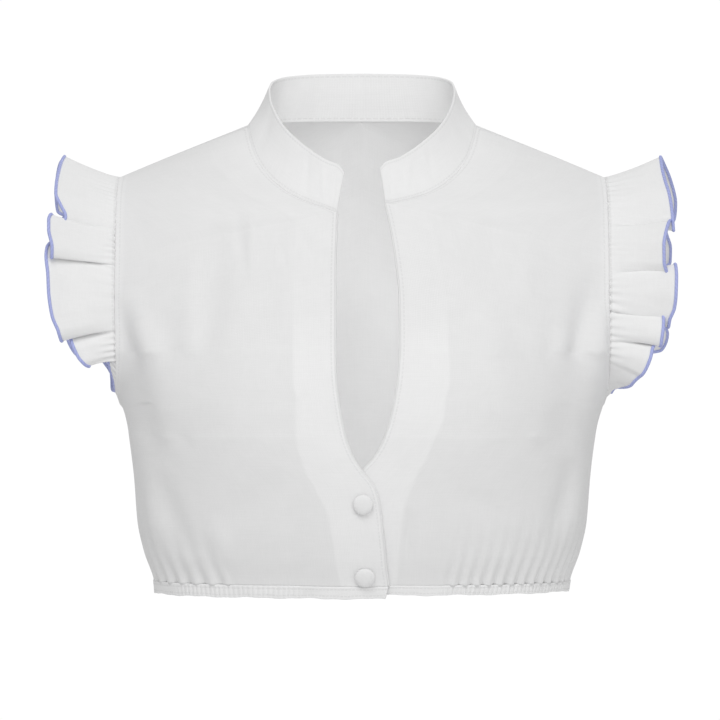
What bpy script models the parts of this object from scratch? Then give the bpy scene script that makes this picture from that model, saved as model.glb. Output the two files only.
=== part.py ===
"""Dirndl blouse in its worn shape, open at the neck, hem and armholes.

Metres, +Z up. The front faces -Y and the wearer's right is at -X. The origin is midway between
the two points where the neck seam meets the shoulder seams. Tables and sizes are in millimetres,
and MM turns them into metres where points are placed.
"""

import math
from collections import namedtuple

import bmesh
import bpy
import numpy as np
from mathutils import Matrix, Vector
from mathutils.bvhtree import BVHTree

MM = 0.001

# Walls and gaps
CLOTH = 1.0
COLLAR_WALL = 2.0
COLLAR_GAP = 1.2
COLLAR_GAP_AT_SHOULDER = 0.7
COLLAR_GAP_SPREAD = 2.5
COLLAR_WAIST = 1.6
COLLAR_COLUMNS = 44
COLLAR_ROWS = 3
CASING_WALL = 2.2
LAYER_GAP = 0.45
SEAM_GAP = 0.6
LAYER_STEP = CLOTH + LAYER_GAP

# Rows of the panels, counted up from the hem seam
UNDERARM_ROW = 12
NOTCH_ROW = 21
SHOULDER_ROW = 28
NECK_ROWS = 4
FRONT_COLUMNS = 16
FRONT_ROWS = 26
BACK_COLUMNS = 13
BACK_ROWS = 24
SHOULDER_ARCH = 0.06
GATHERED_ROWS = 2
GATHER_CUTS = 2
SECTION_START = -0.35
SECTION_POINTS = 109
FOLD_POINTS = 33

# Front edges and hem
FACING_WIDTH = 35.0
FACING_ROWS = 20
LAP_BLEND = 38.0
LAP_WIDTH = 22.0
LAP_RISE = 6.0
OUTER_LAP = 1.9
INNER_LAP = -1.0
LAP_TOP_Z = -273.0
CASING_TOP = -0.04
RIGHT_CASING_FOOT = -0.82
LEFT_CASING_FOOT = -0.58

# Bust fullness of the cut
BUST_X = 84.0
BUST_Z = -228.0
BUST_SPREAD_X = 60.0
BUST_SPREAD_Z = 62.0
BUST_FULLNESS = 8.5

# Frills
RUFFLE_COLUMNS = 96
RUFFLE_ROWS = 3
RUFFLE_WAVES = 11
RIGHT_WAVE_START = 0.1
LEFT_WAVE_START = 0.55
WAVE_UNEVENNESS = 0.16
WAVE_SMALL_UNEVENNESS = 0.1
SWING_UNEVENNESS = 0.28
SEAM_POINTS = 400
ARMHOLE_ROWS = 140
RUFFLE_START_ROW = 12.8
RUFFLE_SEAM_GAP = 0.9
ARMHOLE_CENTRE = (195.0, 0.0, -130.0)
TRIM_RADIUS = 1.3
TRIM_GAP = 0.35
TRIM_SIDES = 4
BINDING_WIDTH = 8.0
BINDING_STEPS = 36
BINDING_STEP_IN = 2.1
BINDING_EDGE_INSET = 0.6

# Buttons
BUTTON_RADIUS = 7.8
BUTTON_HEIGHT = 4.6
BUTTON_GAP = 0.3
BUTTON_STEPS = 20
BUTTONS = (("button_upper", 0.8, -298.2), ("button_lower", 2.2, -354.6))


def table(columns, rows):
    """Named columns of a table, each an array with a value for each row."""
    return {
        name: np.array(values, float) for name, values in zip(columns.split(), zip(*rows))
    }


# Neck seam and top edge of the collar, from the front notch to the centre of the back.
# Station 8 is the shoulder seam.
NECK = table(
    "station base_x base_y base_z top_x top_y top_z",
    (
        (0, 19.6, -74.0, -69.5, 14.0, -67.5, -39.0),
        (1, 24.5, -73.7, -68.0, 18.8, -66.5, -33.0),
        (2, 35.3, -71.5, -64.5, 27.5, -64.0, -29.5),
        (3, 49.1, -66.5, -59.4, 38.5, -58.5, -22.7),
        (4, 63.0, -58.0, -51.2, 49.3, -50.5, -14.0),
        (5, 75.0, -46.0, -39.9, 60.5, -39.0, -3.0),
        (6, 84.3, -30.0, -25.4, 68.5, -23.0, 9.7),
        (7, 89.2, -12.0, -9.6, 73.0, -6.0, 21.7),
        (8, 91.0, 5.0, 0.0, 74.0, 10.0, 30.0),
        (9, 88.0, 22.0, 3.2, 72.4, 25.0, 36.5),
        (10, 78.5, 38.0, 5.0, 65.0, 38.5, 41.0),
        (11, 60.5, 50.0, 6.1, 51.5, 49.0, 43.7),
        (12, 32.5, 59.0, 7.1, 28.5, 56.5, 45.3),
        (13, 0.0, 62.0, 7.3, 0.0, 59.0, 45.8),
    ),
)
SHOULDER_STATION = 8.0
BACK_STATION = 13.0
TOP_LIFT_SHARE = 0.4

# Sections of the front. z and depth are at the centre line, side_* at the side seam and then
# round the armhole. power is the roundness of the section, sweep the part of it that is used.
FRONT_SECTIONS = table(
    "row z depth side_x side_y side_z power sweep bulge",
    (
        (-1, -374.8, -98.0, 164.5, 0.0, -374.8, 2.25, 90.0, 0.0),
        (0, -363.0, -101.0, 166.0, 0.0, -363.0, 2.25, 90.0, 0.0),
        (2, -339.3, -110.0, 174.0, 0.0, -339.3, 2.30, 90.0, 0.0),
        (4, -315.7, -116.0, 179.0, 0.0, -315.7, 2.35, 90.0, 0.0),
        (7, -280.2, -121.0, 181.5, 0.0, -280.2, 2.40, 90.0, 0.0),
        (10, -244.7, -123.0, 186.0, 0.0, -244.7, 2.50, 90.0, 0.0),
        (11.4, -228.1, -122.5, 189.0, 0.0, -228.1, 2.58, 90.0, 0.0),
        (12, -221.0, -122.0, 194.0, 0.0, -221.0, 2.60, 89.0, 0.0),
        (13, -204.0, -120.5, 195.5, -29.0, -211.0, 2.60, 74.0, 0.5),
        (14, -187.0, -117.5, 195.0, -43.0, -200.5, 2.60, 66.0, 1.0),
        (16, -153.0, -108.0, 195.0, -56.0, -176.0, 2.60, 55.0, 2.0),
        (18, -119.0, -95.5, 195.0, -58.0, -148.0, 2.50, 47.0, 5.0),
        (20, -85.5, -81.5, 195.0, -55.0, -120.0, 2.40, 42.0, 9.0),
        (21, -69.5, -74.0, 195.0, -52.0, -106.0, 2.30, 40.0, 10.0),
        (23, 0.0, 0.0, 195.0, -41.0, -79.0, 2.20, 36.0, 9.0),
        (25, 0.0, 0.0, 195.0, -24.0, -56.0, 2.10, 32.0, 6.0),
        (27, 0.0, 0.0, 194.5, -5.0, -43.0, 2.00, 28.0, 2.0),
        (28, 0.0, 0.0, 194.0, 5.0, -41.0, 2.00, 26.0, 0.0),
    ),
)

BACK_SECTIONS = table(
    "row z depth side_x side_y side_z power sweep bulge",
    (
        (-1, -374.8, 103.0, 164.5, 0.0, -374.8, 2.25, 90.0, 0.0),
        (0, -363.0, 105.5, 166.0, 0.0, -363.0, 2.25, 90.0, 0.0),
        (2, -339.3, 109.5, 174.0, 0.0, -339.3, 2.30, 90.0, 0.0),
        (4, -315.7, 111.0, 179.0, 0.0, -315.7, 2.35, 90.0, 0.0),
        (7, -280.2, 112.0, 181.5, 0.0, -280.2, 2.40, 90.0, 0.0),
        (10, -244.7, 112.7, 186.0, 0.0, -244.7, 2.50, 90.0, 0.0),
        (11.4, -228.1, 113.0, 189.0, 0.0, -228.1, 2.58, 90.0, 0.0),
        (12, -221.0, 113.2, 194.0, 0.0, -221.0, 2.60, 89.0, 0.0),
        (13, -196.0, 113.6, 195.5, 29.0, -211.0, 2.60, 74.0, 0.5),
        (14, -171.0, 113.8, 195.0, 43.0, -200.5, 2.60, 66.0, 1.0),
        (16, -120.0, 111.0, 195.0, 57.0, -176.0, 2.60, 56.0, 3.0),
        (18, -69.0, 99.0, 195.0, 61.0, -148.0, 2.50, 48.0, 9.0),
        (20, -18.0, 76.0, 195.0, 59.0, -120.0, 2.40, 42.0, 19.0),
        (21, 7.3, 62.0, 195.0, 56.0, -106.0, 2.30, 40.0, 23.0),
        (23, 0.0, 0.0, 195.0, 47.0, -79.0, 2.20, 36.0, 17.0),
        (25, 0.0, 0.0, 195.0, 32.0, -56.0, 2.10, 32.0, 10.0),
        (27, 0.0, 0.0, 194.5, 14.0, -43.0, 2.00, 28.0, 3.0),
        (28, 0.0, 0.0, 194.0, 5.0, -41.0, 2.00, 26.0, 0.0),
    ),
)

# Front edges: how far each one stands from the centre line, negative where it laps past it
RIGHT_EDGE = table(
    "z x",
    (
        (-375, -17.9),
        (-361, -20.2),
        (-349, -18.6),
        (-332, -17.1),
        (-317, -15.5),
        (-298, -13.2),
        (-286, -9.7),
        (-273, 0.0),
        (-262, 7.0),
        (-248, 12.4),
        (-226, 17.1),
        (-199, 20.4),
        (-174, 21.0),
        (-121, 21.0),
        (-71, 19.6),
    ),
)
LEFT_EDGE = table(
    "z x",
    (
        (-375, -16.5),
        (-361, -16.5),
        (-306, -14.5),
        (-291, -11.6),
        (-273, 0.0),
        (-262, 9.7),
        (-244, 18.6),
        (-224, 24.1),
        (-201, 27.9),
        (-174, 29.5),
        (-139, 29.3),
        (-109, 26.5),
        (-81, 21.9),
        (-64, 18.0),
    ),
)

# Largest folds, as soft ridges (+) and troughs (-): each follows a curve from start to end that
# is drawn towards bend. The places are those in a front view, x counted outwards.
FOLDS = table(
    "side face start_x start_z bend_x bend_z end_x end_z width height",
    (
        (-1, -1, 190.0, -140.0, 182.0, -200.0, 158.0, -272.0, 11.0, -5.0),
        (-1, -1, 180.0, -128.0, 170.0, -190.0, 142.0, -250.0, 11.0, 4.5),
        (-1, -1, 112.0, -62.0, 116.0, -150.0, 138.0, -235.0, 15.0, -3.0),
        (1, -1, 181.0, -112.0, 170.0, -190.0, 152.0, -262.0, 11.0, -5.0),
        (1, -1, 190.0, -140.0, 184.0, -176.0, 178.0, -240.0, 10.0, 4.5),
        (1, -1, 92.0, -130.0, 104.0, -190.0, 110.0, -250.0, 14.0, 2.5),
        (-1, 1, 186.0, -120.0, 172.0, -190.0, 138.0, -270.0, 13.0, -4.0),
        (1, 1, 186.0, -132.0, 168.0, -200.0, 144.0, -262.0, 13.0, -4.0),
        (-1, 1, 60.0, -120.0, 66.0, -230.0, 52.0, -330.0, 16.0, 3.0),
        (1, 1, 74.0, -140.0, 62.0, -240.0, 70.0, -336.0, 16.0, 3.0),
    ),
)

# Gathers above the hem casing: where they start and end along a row, how many, how deep
GATHERS = table(
    "side face start end count depth",
    (
        (-1, -1, 8 / 16, 15 / 16, 7, 1.5),
        (1, -1, 5 / 16, 15 / 16, 15, 1.9),
        (-1, 1, 0, 12 / 13, 18, 1.9),
        (1, 1, 0, 12 / 13, 18, 1.9),
    ),
)
GATHER_REACH = 16.0

# Frill along the armhole seam, from the front of the underarm over the shoulder to the back
RUFFLE = table(
    "along width_right width_left rise swing curl",
    (
        (0.00, 4.0, 4.0, 12.0, 0.0, 0.0),
        (0.05, 7.0, 10.0, 14.0, 4.0, 0.3),
        (0.10, 21.0, 27.0, 16.0, 9.0, 1.4),
        (0.17, 46.0, 47.0, 16.0, 13.0, 2.6),
        (0.28, 54.0, 55.0, 15.0, 14.0, 3.0),
        (0.40, 48.0, 48.0, 14.0, 12.0, 2.8),
        (0.50, 43.0, 43.0, 13.0, 9.0, 2.2),
        (0.60, 48.0, 48.0, 14.0, 12.0, 2.8),
        (0.72, 53.0, 53.0, 15.0, 14.0, 3.0),
        (0.83, 42.0, 44.0, 16.0, 13.0, 2.6),
        (0.90, 20.0, 24.0, 16.0, 9.0, 1.4),
        (0.95, 8.0, 9.0, 14.0, 4.0, 0.3),
        (1.00, 4.0, 4.0, 12.0, 0.0, 0.0),
    ),
)
RUFFLE_GATHER_DEPTH = 0.8

Panel = namedtuple("Panel", "side face sections edge notch_x notch_lift lap")
FRONT_RIGHT = Panel(-1, -1, FRONT_SECTIONS, RIGHT_EDGE, 19.6, -2.0, OUTER_LAP)
FRONT_LEFT = Panel(1, -1, FRONT_SECTIONS, LEFT_EDGE, 18.0, 5.5, INNER_LAP)
BACK_RIGHT = Panel(-1, 1, BACK_SECTIONS, None, 0.0, 0.0, 0.0)
BACK_LEFT = Panel(1, 1, BACK_SECTIONS, None, 0.0, 0.0, 0.0)


def along(knots, values, at):
    """A smooth curve through the values that never swings past them, read at any place."""
    steep = np.diff(values) / np.diff(knots)
    before, after = steep[:-1], steep[1:]
    level = before * after <= 0
    inside = np.where(level, 0, 2 * before * after / np.where(level, 1, before + after))
    slopes = np.concatenate([steep[:1], inside, steep[-1:]])
    at = np.clip(at, knots[0], knots[-1])
    low = np.clip(np.searchsorted(knots, at) - 1, 0, len(knots) - 2)
    span = knots[low + 1] - knots[low]
    part = (at - knots[low]) / span
    rest = 1 - part
    start = values[low] * (1 + 2 * part) * rest**2 + slopes[low] * span * part * rest**2
    end = values[low + 1] * (1 + 2 * rest) * part**2 - slopes[low + 1] * span * rest * part**2
    return start + end


def read(rows, column, at):
    """One column of a table, smoothly read by its first column."""
    knots = next(iter(rows.values()))
    return along(knots, rows[column], at)


def unit(vectors):
    return vectors / np.maximum(np.linalg.norm(vectors, axis=-1, keepdims=True), 1e-9)


def ease(x):
    """0 to 1, level at both ends."""
    x = np.clip(x, 0, 1)
    return x * x * (3 - 2 * x)


def neckline(panel, climb):
    """The neck seam: climb is 0 at the front notch or the centre of the back, 1 at the shoulder."""
    if panel.face < 0:
        station = climb * SHOULDER_STATION
        fade = (1 - climb) ** 2
        shift = (panel.notch_x - NECK["base_x"][0]) * fade
        lift = panel.notch_lift * fade
    else:
        station = BACK_STATION - climb * (BACK_STATION - SHOULDER_STATION)
        shift = lift = 0.0
    x = read(NECK, "base_x", station) + shift
    y = read(NECK, "base_y", station)
    z = read(NECK, "base_z", station) + lift
    return x, y, z


def inner_end(panel, row):
    """Where a row starts: x, x of the section's axis, depth and height."""
    climb = np.clip((row - NOTCH_ROW) / (SHOULDER_ROW - NOTCH_ROW), 0, 1)
    neck_x, neck_y, neck_z = neckline(panel, climb)
    body = np.minimum(row, NOTCH_ROW)
    below = {name: values[:-NECK_ROWS] for name, values in panel.sections.items()}
    lift = panel.notch_lift * np.clip((body - UNDERARM_ROW) / (NOTCH_ROW - UNDERARM_ROW), 0, 1) ** 2
    z = read(below, "z", body) + lift
    depth = read(below, "depth", body)
    edge_x = np.zeros_like(z) if panel.edge is None else read(panel.edge, "x", z)
    on_neck = row > NOTCH_ROW
    x = np.where(on_neck, neck_x, edge_x)
    axis_x = np.where(on_neck, neck_x - panel.notch_x * (1 - climb), 0.0)
    return x, axis_x, np.where(on_neck, neck_y, depth), np.where(on_neck, neck_z, z)


def section(panel, row):
    """The whole section line of each row: points across it and the length along it."""
    x, axis_x, depth, z = inner_end(panel, row)
    side_x, side_y, power, sweep, bulge = (
        read(panel.sections, name, row)[:, None]
        for name in ("side_x", "side_y", "power", "sweep", "bulge")
    )
    sweep = np.radians(sweep)
    angle = np.linspace(SECTION_START, 1.0, SECTION_POINTS)[None, :] * sweep

    def round_x(a):
        return np.sin(a) / (np.abs(np.sin(a)) ** power + np.abs(np.cos(a)) ** power) ** (1 / power)

    def round_y(a):
        return np.cos(a) / (np.abs(np.sin(a)) ** power + np.abs(np.cos(a)) ** power) ** (1 / power)

    across = round_x(angle) / round_x(sweep)
    xs = axis_x[:, None] + (side_x - axis_x[:, None]) * across
    fall = (1 - round_y(angle)) / (1 - round_y(sweep))
    ys = depth[:, None] + (side_y - depth[:, None]) * fall
    ys += panel.face * bulge * np.sin(np.pi * np.clip(across, 0, 1))
    steps = np.hypot(np.diff(xs, axis=1), np.diff(ys, axis=1))
    length = np.concatenate([np.zeros((len(row), 1)), np.cumsum(steps, axis=1)], axis=1)
    return x, z, xs, ys, length


def pick(values, length, at):
    """The values of each line at its own length."""
    high = np.clip((length < at[:, None]).sum(axis=1), 1, length.shape[1] - 1)
    each = np.arange(len(at))
    span = np.maximum(length[each, high] - length[each, high - 1], 1e-9)
    part = (at - length[each, high - 1]) / span
    return values[each, high - 1] * (1 - part) + values[each, high] * part


def plain_point(panel, part, row):
    """A point of a panel without folds: part runs from the inner edge to the side along a row."""
    x, z, xs, ys, length = section(panel, row)
    start = pick(length, xs, x)
    at = start + part * (length[:, -1] - start)
    side_z = read(panel.sections, "side_z", row)
    down = part - SHOULDER_ARCH * np.sin(np.pi * part)
    points = np.stack([pick(xs, length, at), pick(ys, length, at), z + (side_z - z) * down], axis=1)
    points[:, 1] += panel.face * SEAM_GAP / 2
    return points


def row_length(panel, row):
    """Length of each row from the inner edge to the side."""
    x, _, xs, _, length = section(panel, row)
    return length[:, -1] - pick(length, xs, x)


def facing_out(panel, surface, part, row):
    """Unit normals of a surface of the panel, pointing away from the wearer."""
    step_part = 0.004
    step_row = 0.04
    low, high = np.clip(part - step_part, 0, 1), np.clip(part + step_part, 0, 1)
    under, over = np.maximum(row - step_row, -1), np.minimum(row + step_row, SHOULDER_ROW)
    across = surface(panel, high, row) - surface(panel, low, row)
    up = surface(panel, part, over) - surface(panel, part, under)
    return unit(np.cross(across, up)) * -panel.face


def fold_relief(panel, points):
    """Height of the largest folds at each point."""
    height = np.zeros(len(points))
    for fold in zip(*FOLDS.values()):
        side, face, *places, width, top = fold
        if (side, face) != (panel.side, panel.face):
            continue
        start, bend, end = np.array(places).reshape(3, 2)
        at = np.linspace(0, 1, FOLD_POINTS)[:, None]
        line = start * (1 - at) ** 2 + 2 * bend * at * (1 - at) + end * at**2
        away = np.linalg.norm(points[:, None, [0, 2]] - line[None], axis=2)
        nearest = away.argmin(axis=1)
        strength = np.sin(np.pi * nearest / (FOLD_POINTS - 1)) ** 0.8
        height += top * strength * np.exp(-((away.min(axis=1) / width) ** 2))
    return height


def gather_relief(panel, part, points):
    """Height of the gathers above the hem casing."""
    fade = np.exp(-np.clip(points[:, 2] - FRONT_SECTIONS["z"][1], 0, None) / GATHER_REACH)
    fade = np.where(points[:, 2] < FRONT_SECTIONS["z"][1] - 0.01, 0, fade)
    height = np.zeros(len(points))
    for side, face, start, end, count, depth in zip(*GATHERS.values()):
        if (side, face) != (panel.side, panel.face):
            continue
        place = np.clip((part - start) / (end - start), 0, 1)
        swell = ease(np.minimum(place, 1 - place) * 8) if face < 0 else ease((1 - place) * 8)
        height += depth * swell * -np.cos(2 * np.pi * count * place)
    return height * fade


def lap_relief(panel, points):
    """How far a front edge is moved out or in where the two fronts lap."""
    if panel.face > 0:
        return np.zeros(len(points))
    across = 1 - ease((points[:, 0] - LAP_WIDTH) / LAP_BLEND)
    down = 1 - ease((points[:, 2] - LAP_TOP_Z - LAP_RISE) / LAP_BLEND)
    return panel.lap * across * down


def bust_relief(panel, points):
    """Fullness that the cut gives the fronts."""
    if panel.face > 0:
        return np.zeros(len(points))
    across = (points[:, 0] - BUST_X) / BUST_SPREAD_X
    up = (points[:, 2] - BUST_Z) / BUST_SPREAD_Z
    return BUST_FULLNESS * np.exp(-(across**2) - up**2)


def panel_point(panel, part, row):
    """A point of the finished panel."""
    points = plain_point(panel, part, row)
    out = facing_out(panel, plain_point, part, row)
    height = bust_relief(panel, points) + fold_relief(panel, points)
    height = height * ease((1 - part) * 12 + 0.25)
    height += gather_relief(panel, part, points) + lap_relief(panel, points)
    return points + out * height[:, None]


def place(panel, points):
    """Points in metres, on the panel's own side of the wearer."""
    return points * (panel.side * MM, MM, MM)


def new_material(name, colour, roughness):
    """A plain material from an sRGB colour of three values from 0 to 255."""
    linear = [((c / 255 + 0.055) / 1.055) ** 2.4 for c in colour]
    material = bpy.data.materials.new(name)
    material.use_nodes = True
    shader = material.node_tree.nodes["Principled BSDF"]
    shader.inputs["Base Color"].default_value = (*linear, 1)
    shader.inputs["Roughness"].default_value = roughness
    shader.inputs["Metallic"].default_value = 0.0
    return material


def grid(columns, rows):
    """A flat grid whose x and y run from 0 to 1."""
    sheet = bmesh.new()
    bmesh.ops.create_grid(sheet, x_segments=columns, y_segments=rows, size=0.5)
    bmesh.ops.translate(sheet, verts=sheet.verts, vec=(0.5, 0.5, 0))
    return sheet


def finer_foot(sheet, height):
    """Cuts the rows of a grid up to a height into narrower cells, for the gathers."""
    across = [
        edge
        for edge in sheet.edges
        if abs(edge.verts[0].co.y - edge.verts[1].co.y) < 1e-6 and edge.verts[0].co.y < height
    ]
    bmesh.ops.subdivide_edges(sheet, edges=across, cuts=GATHER_CUTS, use_grid_fill=True)


def shape(sheet, function):
    """Moves the points of a flat grid to where the function puts their x and y."""
    flat = np.array([vert.co[:2] for vert in sheet.verts])
    for vert, point in zip(sheet.verts, function(flat[:, 0], flat[:, 1])):
        vert.co = point


def join(sheet):
    """Merges the points of a sheet that meet, so that halves or ends close."""
    bmesh.ops.remove_doubles(sheet, verts=sheet.verts, dist=0.02 * MM)


def add_object(name, sheet, material, wall=None, even=True):
    """An object from a bmesh, with a wall built on both sides of it."""
    bmesh.ops.recalc_face_normals(sheet, faces=sheet.faces)
    mesh = bpy.data.meshes.new(name)
    sheet.to_mesh(mesh)
    sheet.free()
    mesh.materials.append(material)
    mesh.shade_smooth()
    item = bpy.data.objects.new(name, mesh)
    bpy.context.scene.collection.objects.link(item)
    if wall:
        solid = item.modifiers.new("Wall", "SOLIDIFY")
        solid.thickness = wall * MM
        solid.offset = 0
        solid.use_even_offset = even
        solid.use_quality_normals = True
    return item


def add_front(name, panel, material):
    """One front, from the hem seam up to the neck and shoulder seams."""
    sheet = grid(FRONT_COLUMNS, FRONT_ROWS)
    finer_foot(sheet, (GATHERED_ROWS + 0.5) / FRONT_ROWS)
    shape(sheet, lambda u, v: place(panel, panel_point(panel, u, v * SHOULDER_ROW)))
    return add_object(name, sheet, material, CLOTH)


def add_back(name, material):
    """The back: two halves that are one cloth along the centre line."""
    back = bmesh.new()
    for panel in (BACK_RIGHT, BACK_LEFT):
        half = grid(BACK_COLUMNS, BACK_ROWS)
        finer_foot(half, (GATHERED_ROWS + 0.5) / BACK_ROWS)
        shape(half, lambda u, v: place(panel, panel_point(panel, u, v * SHOULDER_ROW)))
        mesh = bpy.data.meshes.new("half")
        half.to_mesh(mesh)
        half.free()
        back.from_mesh(mesh)
        bpy.data.meshes.remove(mesh)
    join(back)
    return add_object(name, back, material, CLOTH)


def add_facing(name, panel, material):
    """The strip behind a front edge, from the hem casing to the neck seam."""

    def behind(u, v):
        row = 0.05 + v * (NOTCH_ROW - 0.1)
        part = 0.001 + u * FACING_WIDTH / row_length(panel, row)
        inward = facing_out(panel, panel_point, part, row) * -LAYER_STEP
        return place(panel, panel_point(panel, part, row) + inward)

    sheet = grid(2, FACING_ROWS)
    shape(sheet, behind)
    return add_object(name, sheet, material, CLOTH)


def add_casing(name, panels, foot, material):
    """The elastic casing under one panel, or under two that are one cloth."""
    band = bmesh.new()
    for panel in panels:
        half = grid(FRONT_COLUMNS, 1)

        def under(u, v):
            row = foot + v * (CASING_TOP - foot)
            return place(panel, panel_point(panel, u, row))

        shape(half, under)
        mesh = bpy.data.meshes.new("half")
        half.to_mesh(mesh)
        half.free()
        band.from_mesh(mesh)
        bpy.data.meshes.remove(mesh)
    join(band)
    return add_object(name, band, material, CASING_WALL)


def collar_point(u, v):
    """The stand collar: u runs from its right end round the back to its left end, v up."""
    station = (0.5 - np.abs(u - 0.5)) * 2 * BACK_STATION
    side = np.where(u < 0.5, -1.0, 1.0)
    base = np.stack([read(NECK, f"base_{axis}", station) for axis in "xyz"], axis=1)
    top = np.stack([read(NECK, f"top_{axis}", station) for axis in "xyz"], axis=1)
    fade = (1 - np.clip(station / SHOULDER_STATION, 0, 1)) ** 2
    for panel in (FRONT_RIGHT, FRONT_LEFT):
        near = np.where(side == panel.side, fade, 0)
        base[:, 0] += (panel.notch_x - NECK["base_x"][0]) * near
        base[:, 2] += panel.notch_lift * near
        top[:, 2] += panel.notch_lift * TOP_LIFT_SHARE * near
    rise = unit(top - base)
    from_shoulder = (station - SHOULDER_STATION) / COLLAR_GAP_SPREAD
    gap = COLLAR_GAP + COLLAR_GAP_AT_SHOULDER * np.exp(-(from_shoulder**2))
    foot = base + rise * gap[:, None]
    points = foot + (top - foot) * v[:, None]
    waist = COLLAR_WAIST * np.sin(np.pi * v) * np.clip(station / 3, 0, 1)
    hollow = unit(np.stack([points[:, 0], points[:, 1], np.zeros_like(u)], axis=1))
    points -= hollow * waist[:, None]
    return points * np.stack([side * MM, np.full_like(u, MM), np.full_like(u, MM)], axis=1)


def add_collar(name, material):
    sheet = grid(COLLAR_COLUMNS, COLLAR_ROWS)
    shape(sheet, collar_point)
    return add_object(name, sheet, material, COLLAR_WALL)


def armhole(fronts, backs, start_row, count):
    """Points round the armhole edge, evenly spaced, and the panels' outward normals there."""
    rows = np.linspace(start_row, SHOULDER_ROW, ARMHOLE_ROWS)
    ends = np.ones_like(rows)
    points = [panel_point(panel, ends, rows) for panel in (fronts, backs)]
    out = [facing_out(panel, panel_point, ends, rows) for panel in (fronts, backs)]
    line = np.concatenate([points[0], points[1][::-1]])
    normals = np.concatenate([out[0], out[1][::-1]])
    length = np.concatenate([[0], np.cumsum(np.linalg.norm(np.diff(line, axis=0), axis=1))])
    even = np.linspace(0, length[-1], count)
    line = np.stack([np.interp(even, length, line[:, k]) for k in range(3)], axis=1)
    normals = unit(np.stack([np.interp(even, length, normals[:, k]) for k in range(3)], axis=1))
    return line, normals, length[-1]


def ruffle_phase(panel, t):
    """Turns of the frill's waves, unevenly spaced and not alike on the two sides."""
    start = LEFT_WAVE_START if panel.side > 0 else RIGHT_WAVE_START
    uneven = WAVE_UNEVENNESS * np.sin(11 * t + 5 * start)
    uneven += WAVE_SMALL_UNEVENNESS * np.sin(23 * t + 9 * start)
    return 2 * np.pi * (RUFFLE_WAVES * t + start + uneven)


def ruffle_point(panel, seam, length, t, s):
    """The frill: t runs along the seam and s from the seam to the free edge."""
    phase = ruffle_phase(panel, t)
    curl = -read(RUFFLE, "curl", t) * s * np.sin(2 * phase) / length
    place_t = np.clip(t + curl, 0, 1)
    knots = np.linspace(0, 1, len(seam))
    root = np.stack([np.interp(place_t, knots, seam[:, k]) for k in range(3)], axis=1)
    radial = root - ARMHOLE_CENTRE
    radial[:, 0] = 0
    radial = unit(radial)
    uneven = 1 + SWING_UNEVENNESS * np.sin(17 * t + 1.1)
    swing = read(RUFFLE, "swing", t) * uneven * s**0.8 * np.sin(phase)
    rise = np.radians(read(RUFFLE, "rise", t) + swing)
    direction = radial * np.sin(rise)[:, None]
    direction[:, 0] = np.cos(rise)
    width = read(RUFFLE, "width_left" if panel.side > 0 else "width_right", t)
    reach = RUFFLE_SEAM_GAP + s * width
    gather = RUFFLE_GATHER_DEPTH * np.cos(np.pi * RUFFLE_COLUMNS * t) * (1 - s) ** 3
    gather *= ease(np.minimum(t, 1 - t) * 12)
    return root + direction * reach[:, None] + radial * gather[:, None]


def add_ruffle(name, fronts, backs, material):
    seam, _, length = armhole(fronts, backs, RUFFLE_START_ROW, SEAM_POINTS)
    sheet = grid(RUFFLE_COLUMNS, RUFFLE_ROWS)
    shape(sheet, lambda u, v: place(fronts, ruffle_point(fronts, seam, length, u, v**0.8)))
    return add_object(name, sheet, material, CLOTH, even=False)


def add_ruffle_edge(name, fronts, backs, material):
    """The rolled edge: a thin tube along the frill's free edge."""
    seam, _, length = armhole(fronts, backs, RUFFLE_START_ROW, SEAM_POINTS)
    step = 1 / RUFFLE_COLUMNS

    def edge(t, s):
        return ruffle_point(fronts, seam, length, t, s)

    def rolled(u, v):
        ones = np.ones_like(u)
        rim = edge(u, ones)
        run = unit(edge(np.minimum(u + step, 1), ones) - edge(np.maximum(u - step, 0), ones))
        out = rim - edge(u, ones * 0.94)
        out = unit(out - run * (out * run).sum(axis=1)[:, None])
        up = np.cross(run, out)
        centre = rim + out * (TRIM_GAP + TRIM_RADIUS)
        turn = (2 * np.pi * v)[:, None]
        return place(fronts, centre + TRIM_RADIUS * (np.cos(turn) * out + np.sin(turn) * up))

    sheet = grid(RUFFLE_COLUMNS, TRIM_SIDES)
    shape(sheet, rolled)
    join(sheet)
    bmesh.ops.holes_fill(sheet, edges=sheet.edges, sides=TRIM_SIDES)
    return add_object(name, sheet, material)


def panel_tree(items):
    """A search tree over the middle surfaces of some panels."""
    points = []
    faces = []
    for item in items:
        first = len(points)
        points += [vert.co.copy() for vert in item.data.vertices]
        faces += [[first + k for k in face.vertices] for face in item.data.polygons]
    return BVHTree.FromPolygons(points, faces)


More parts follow.
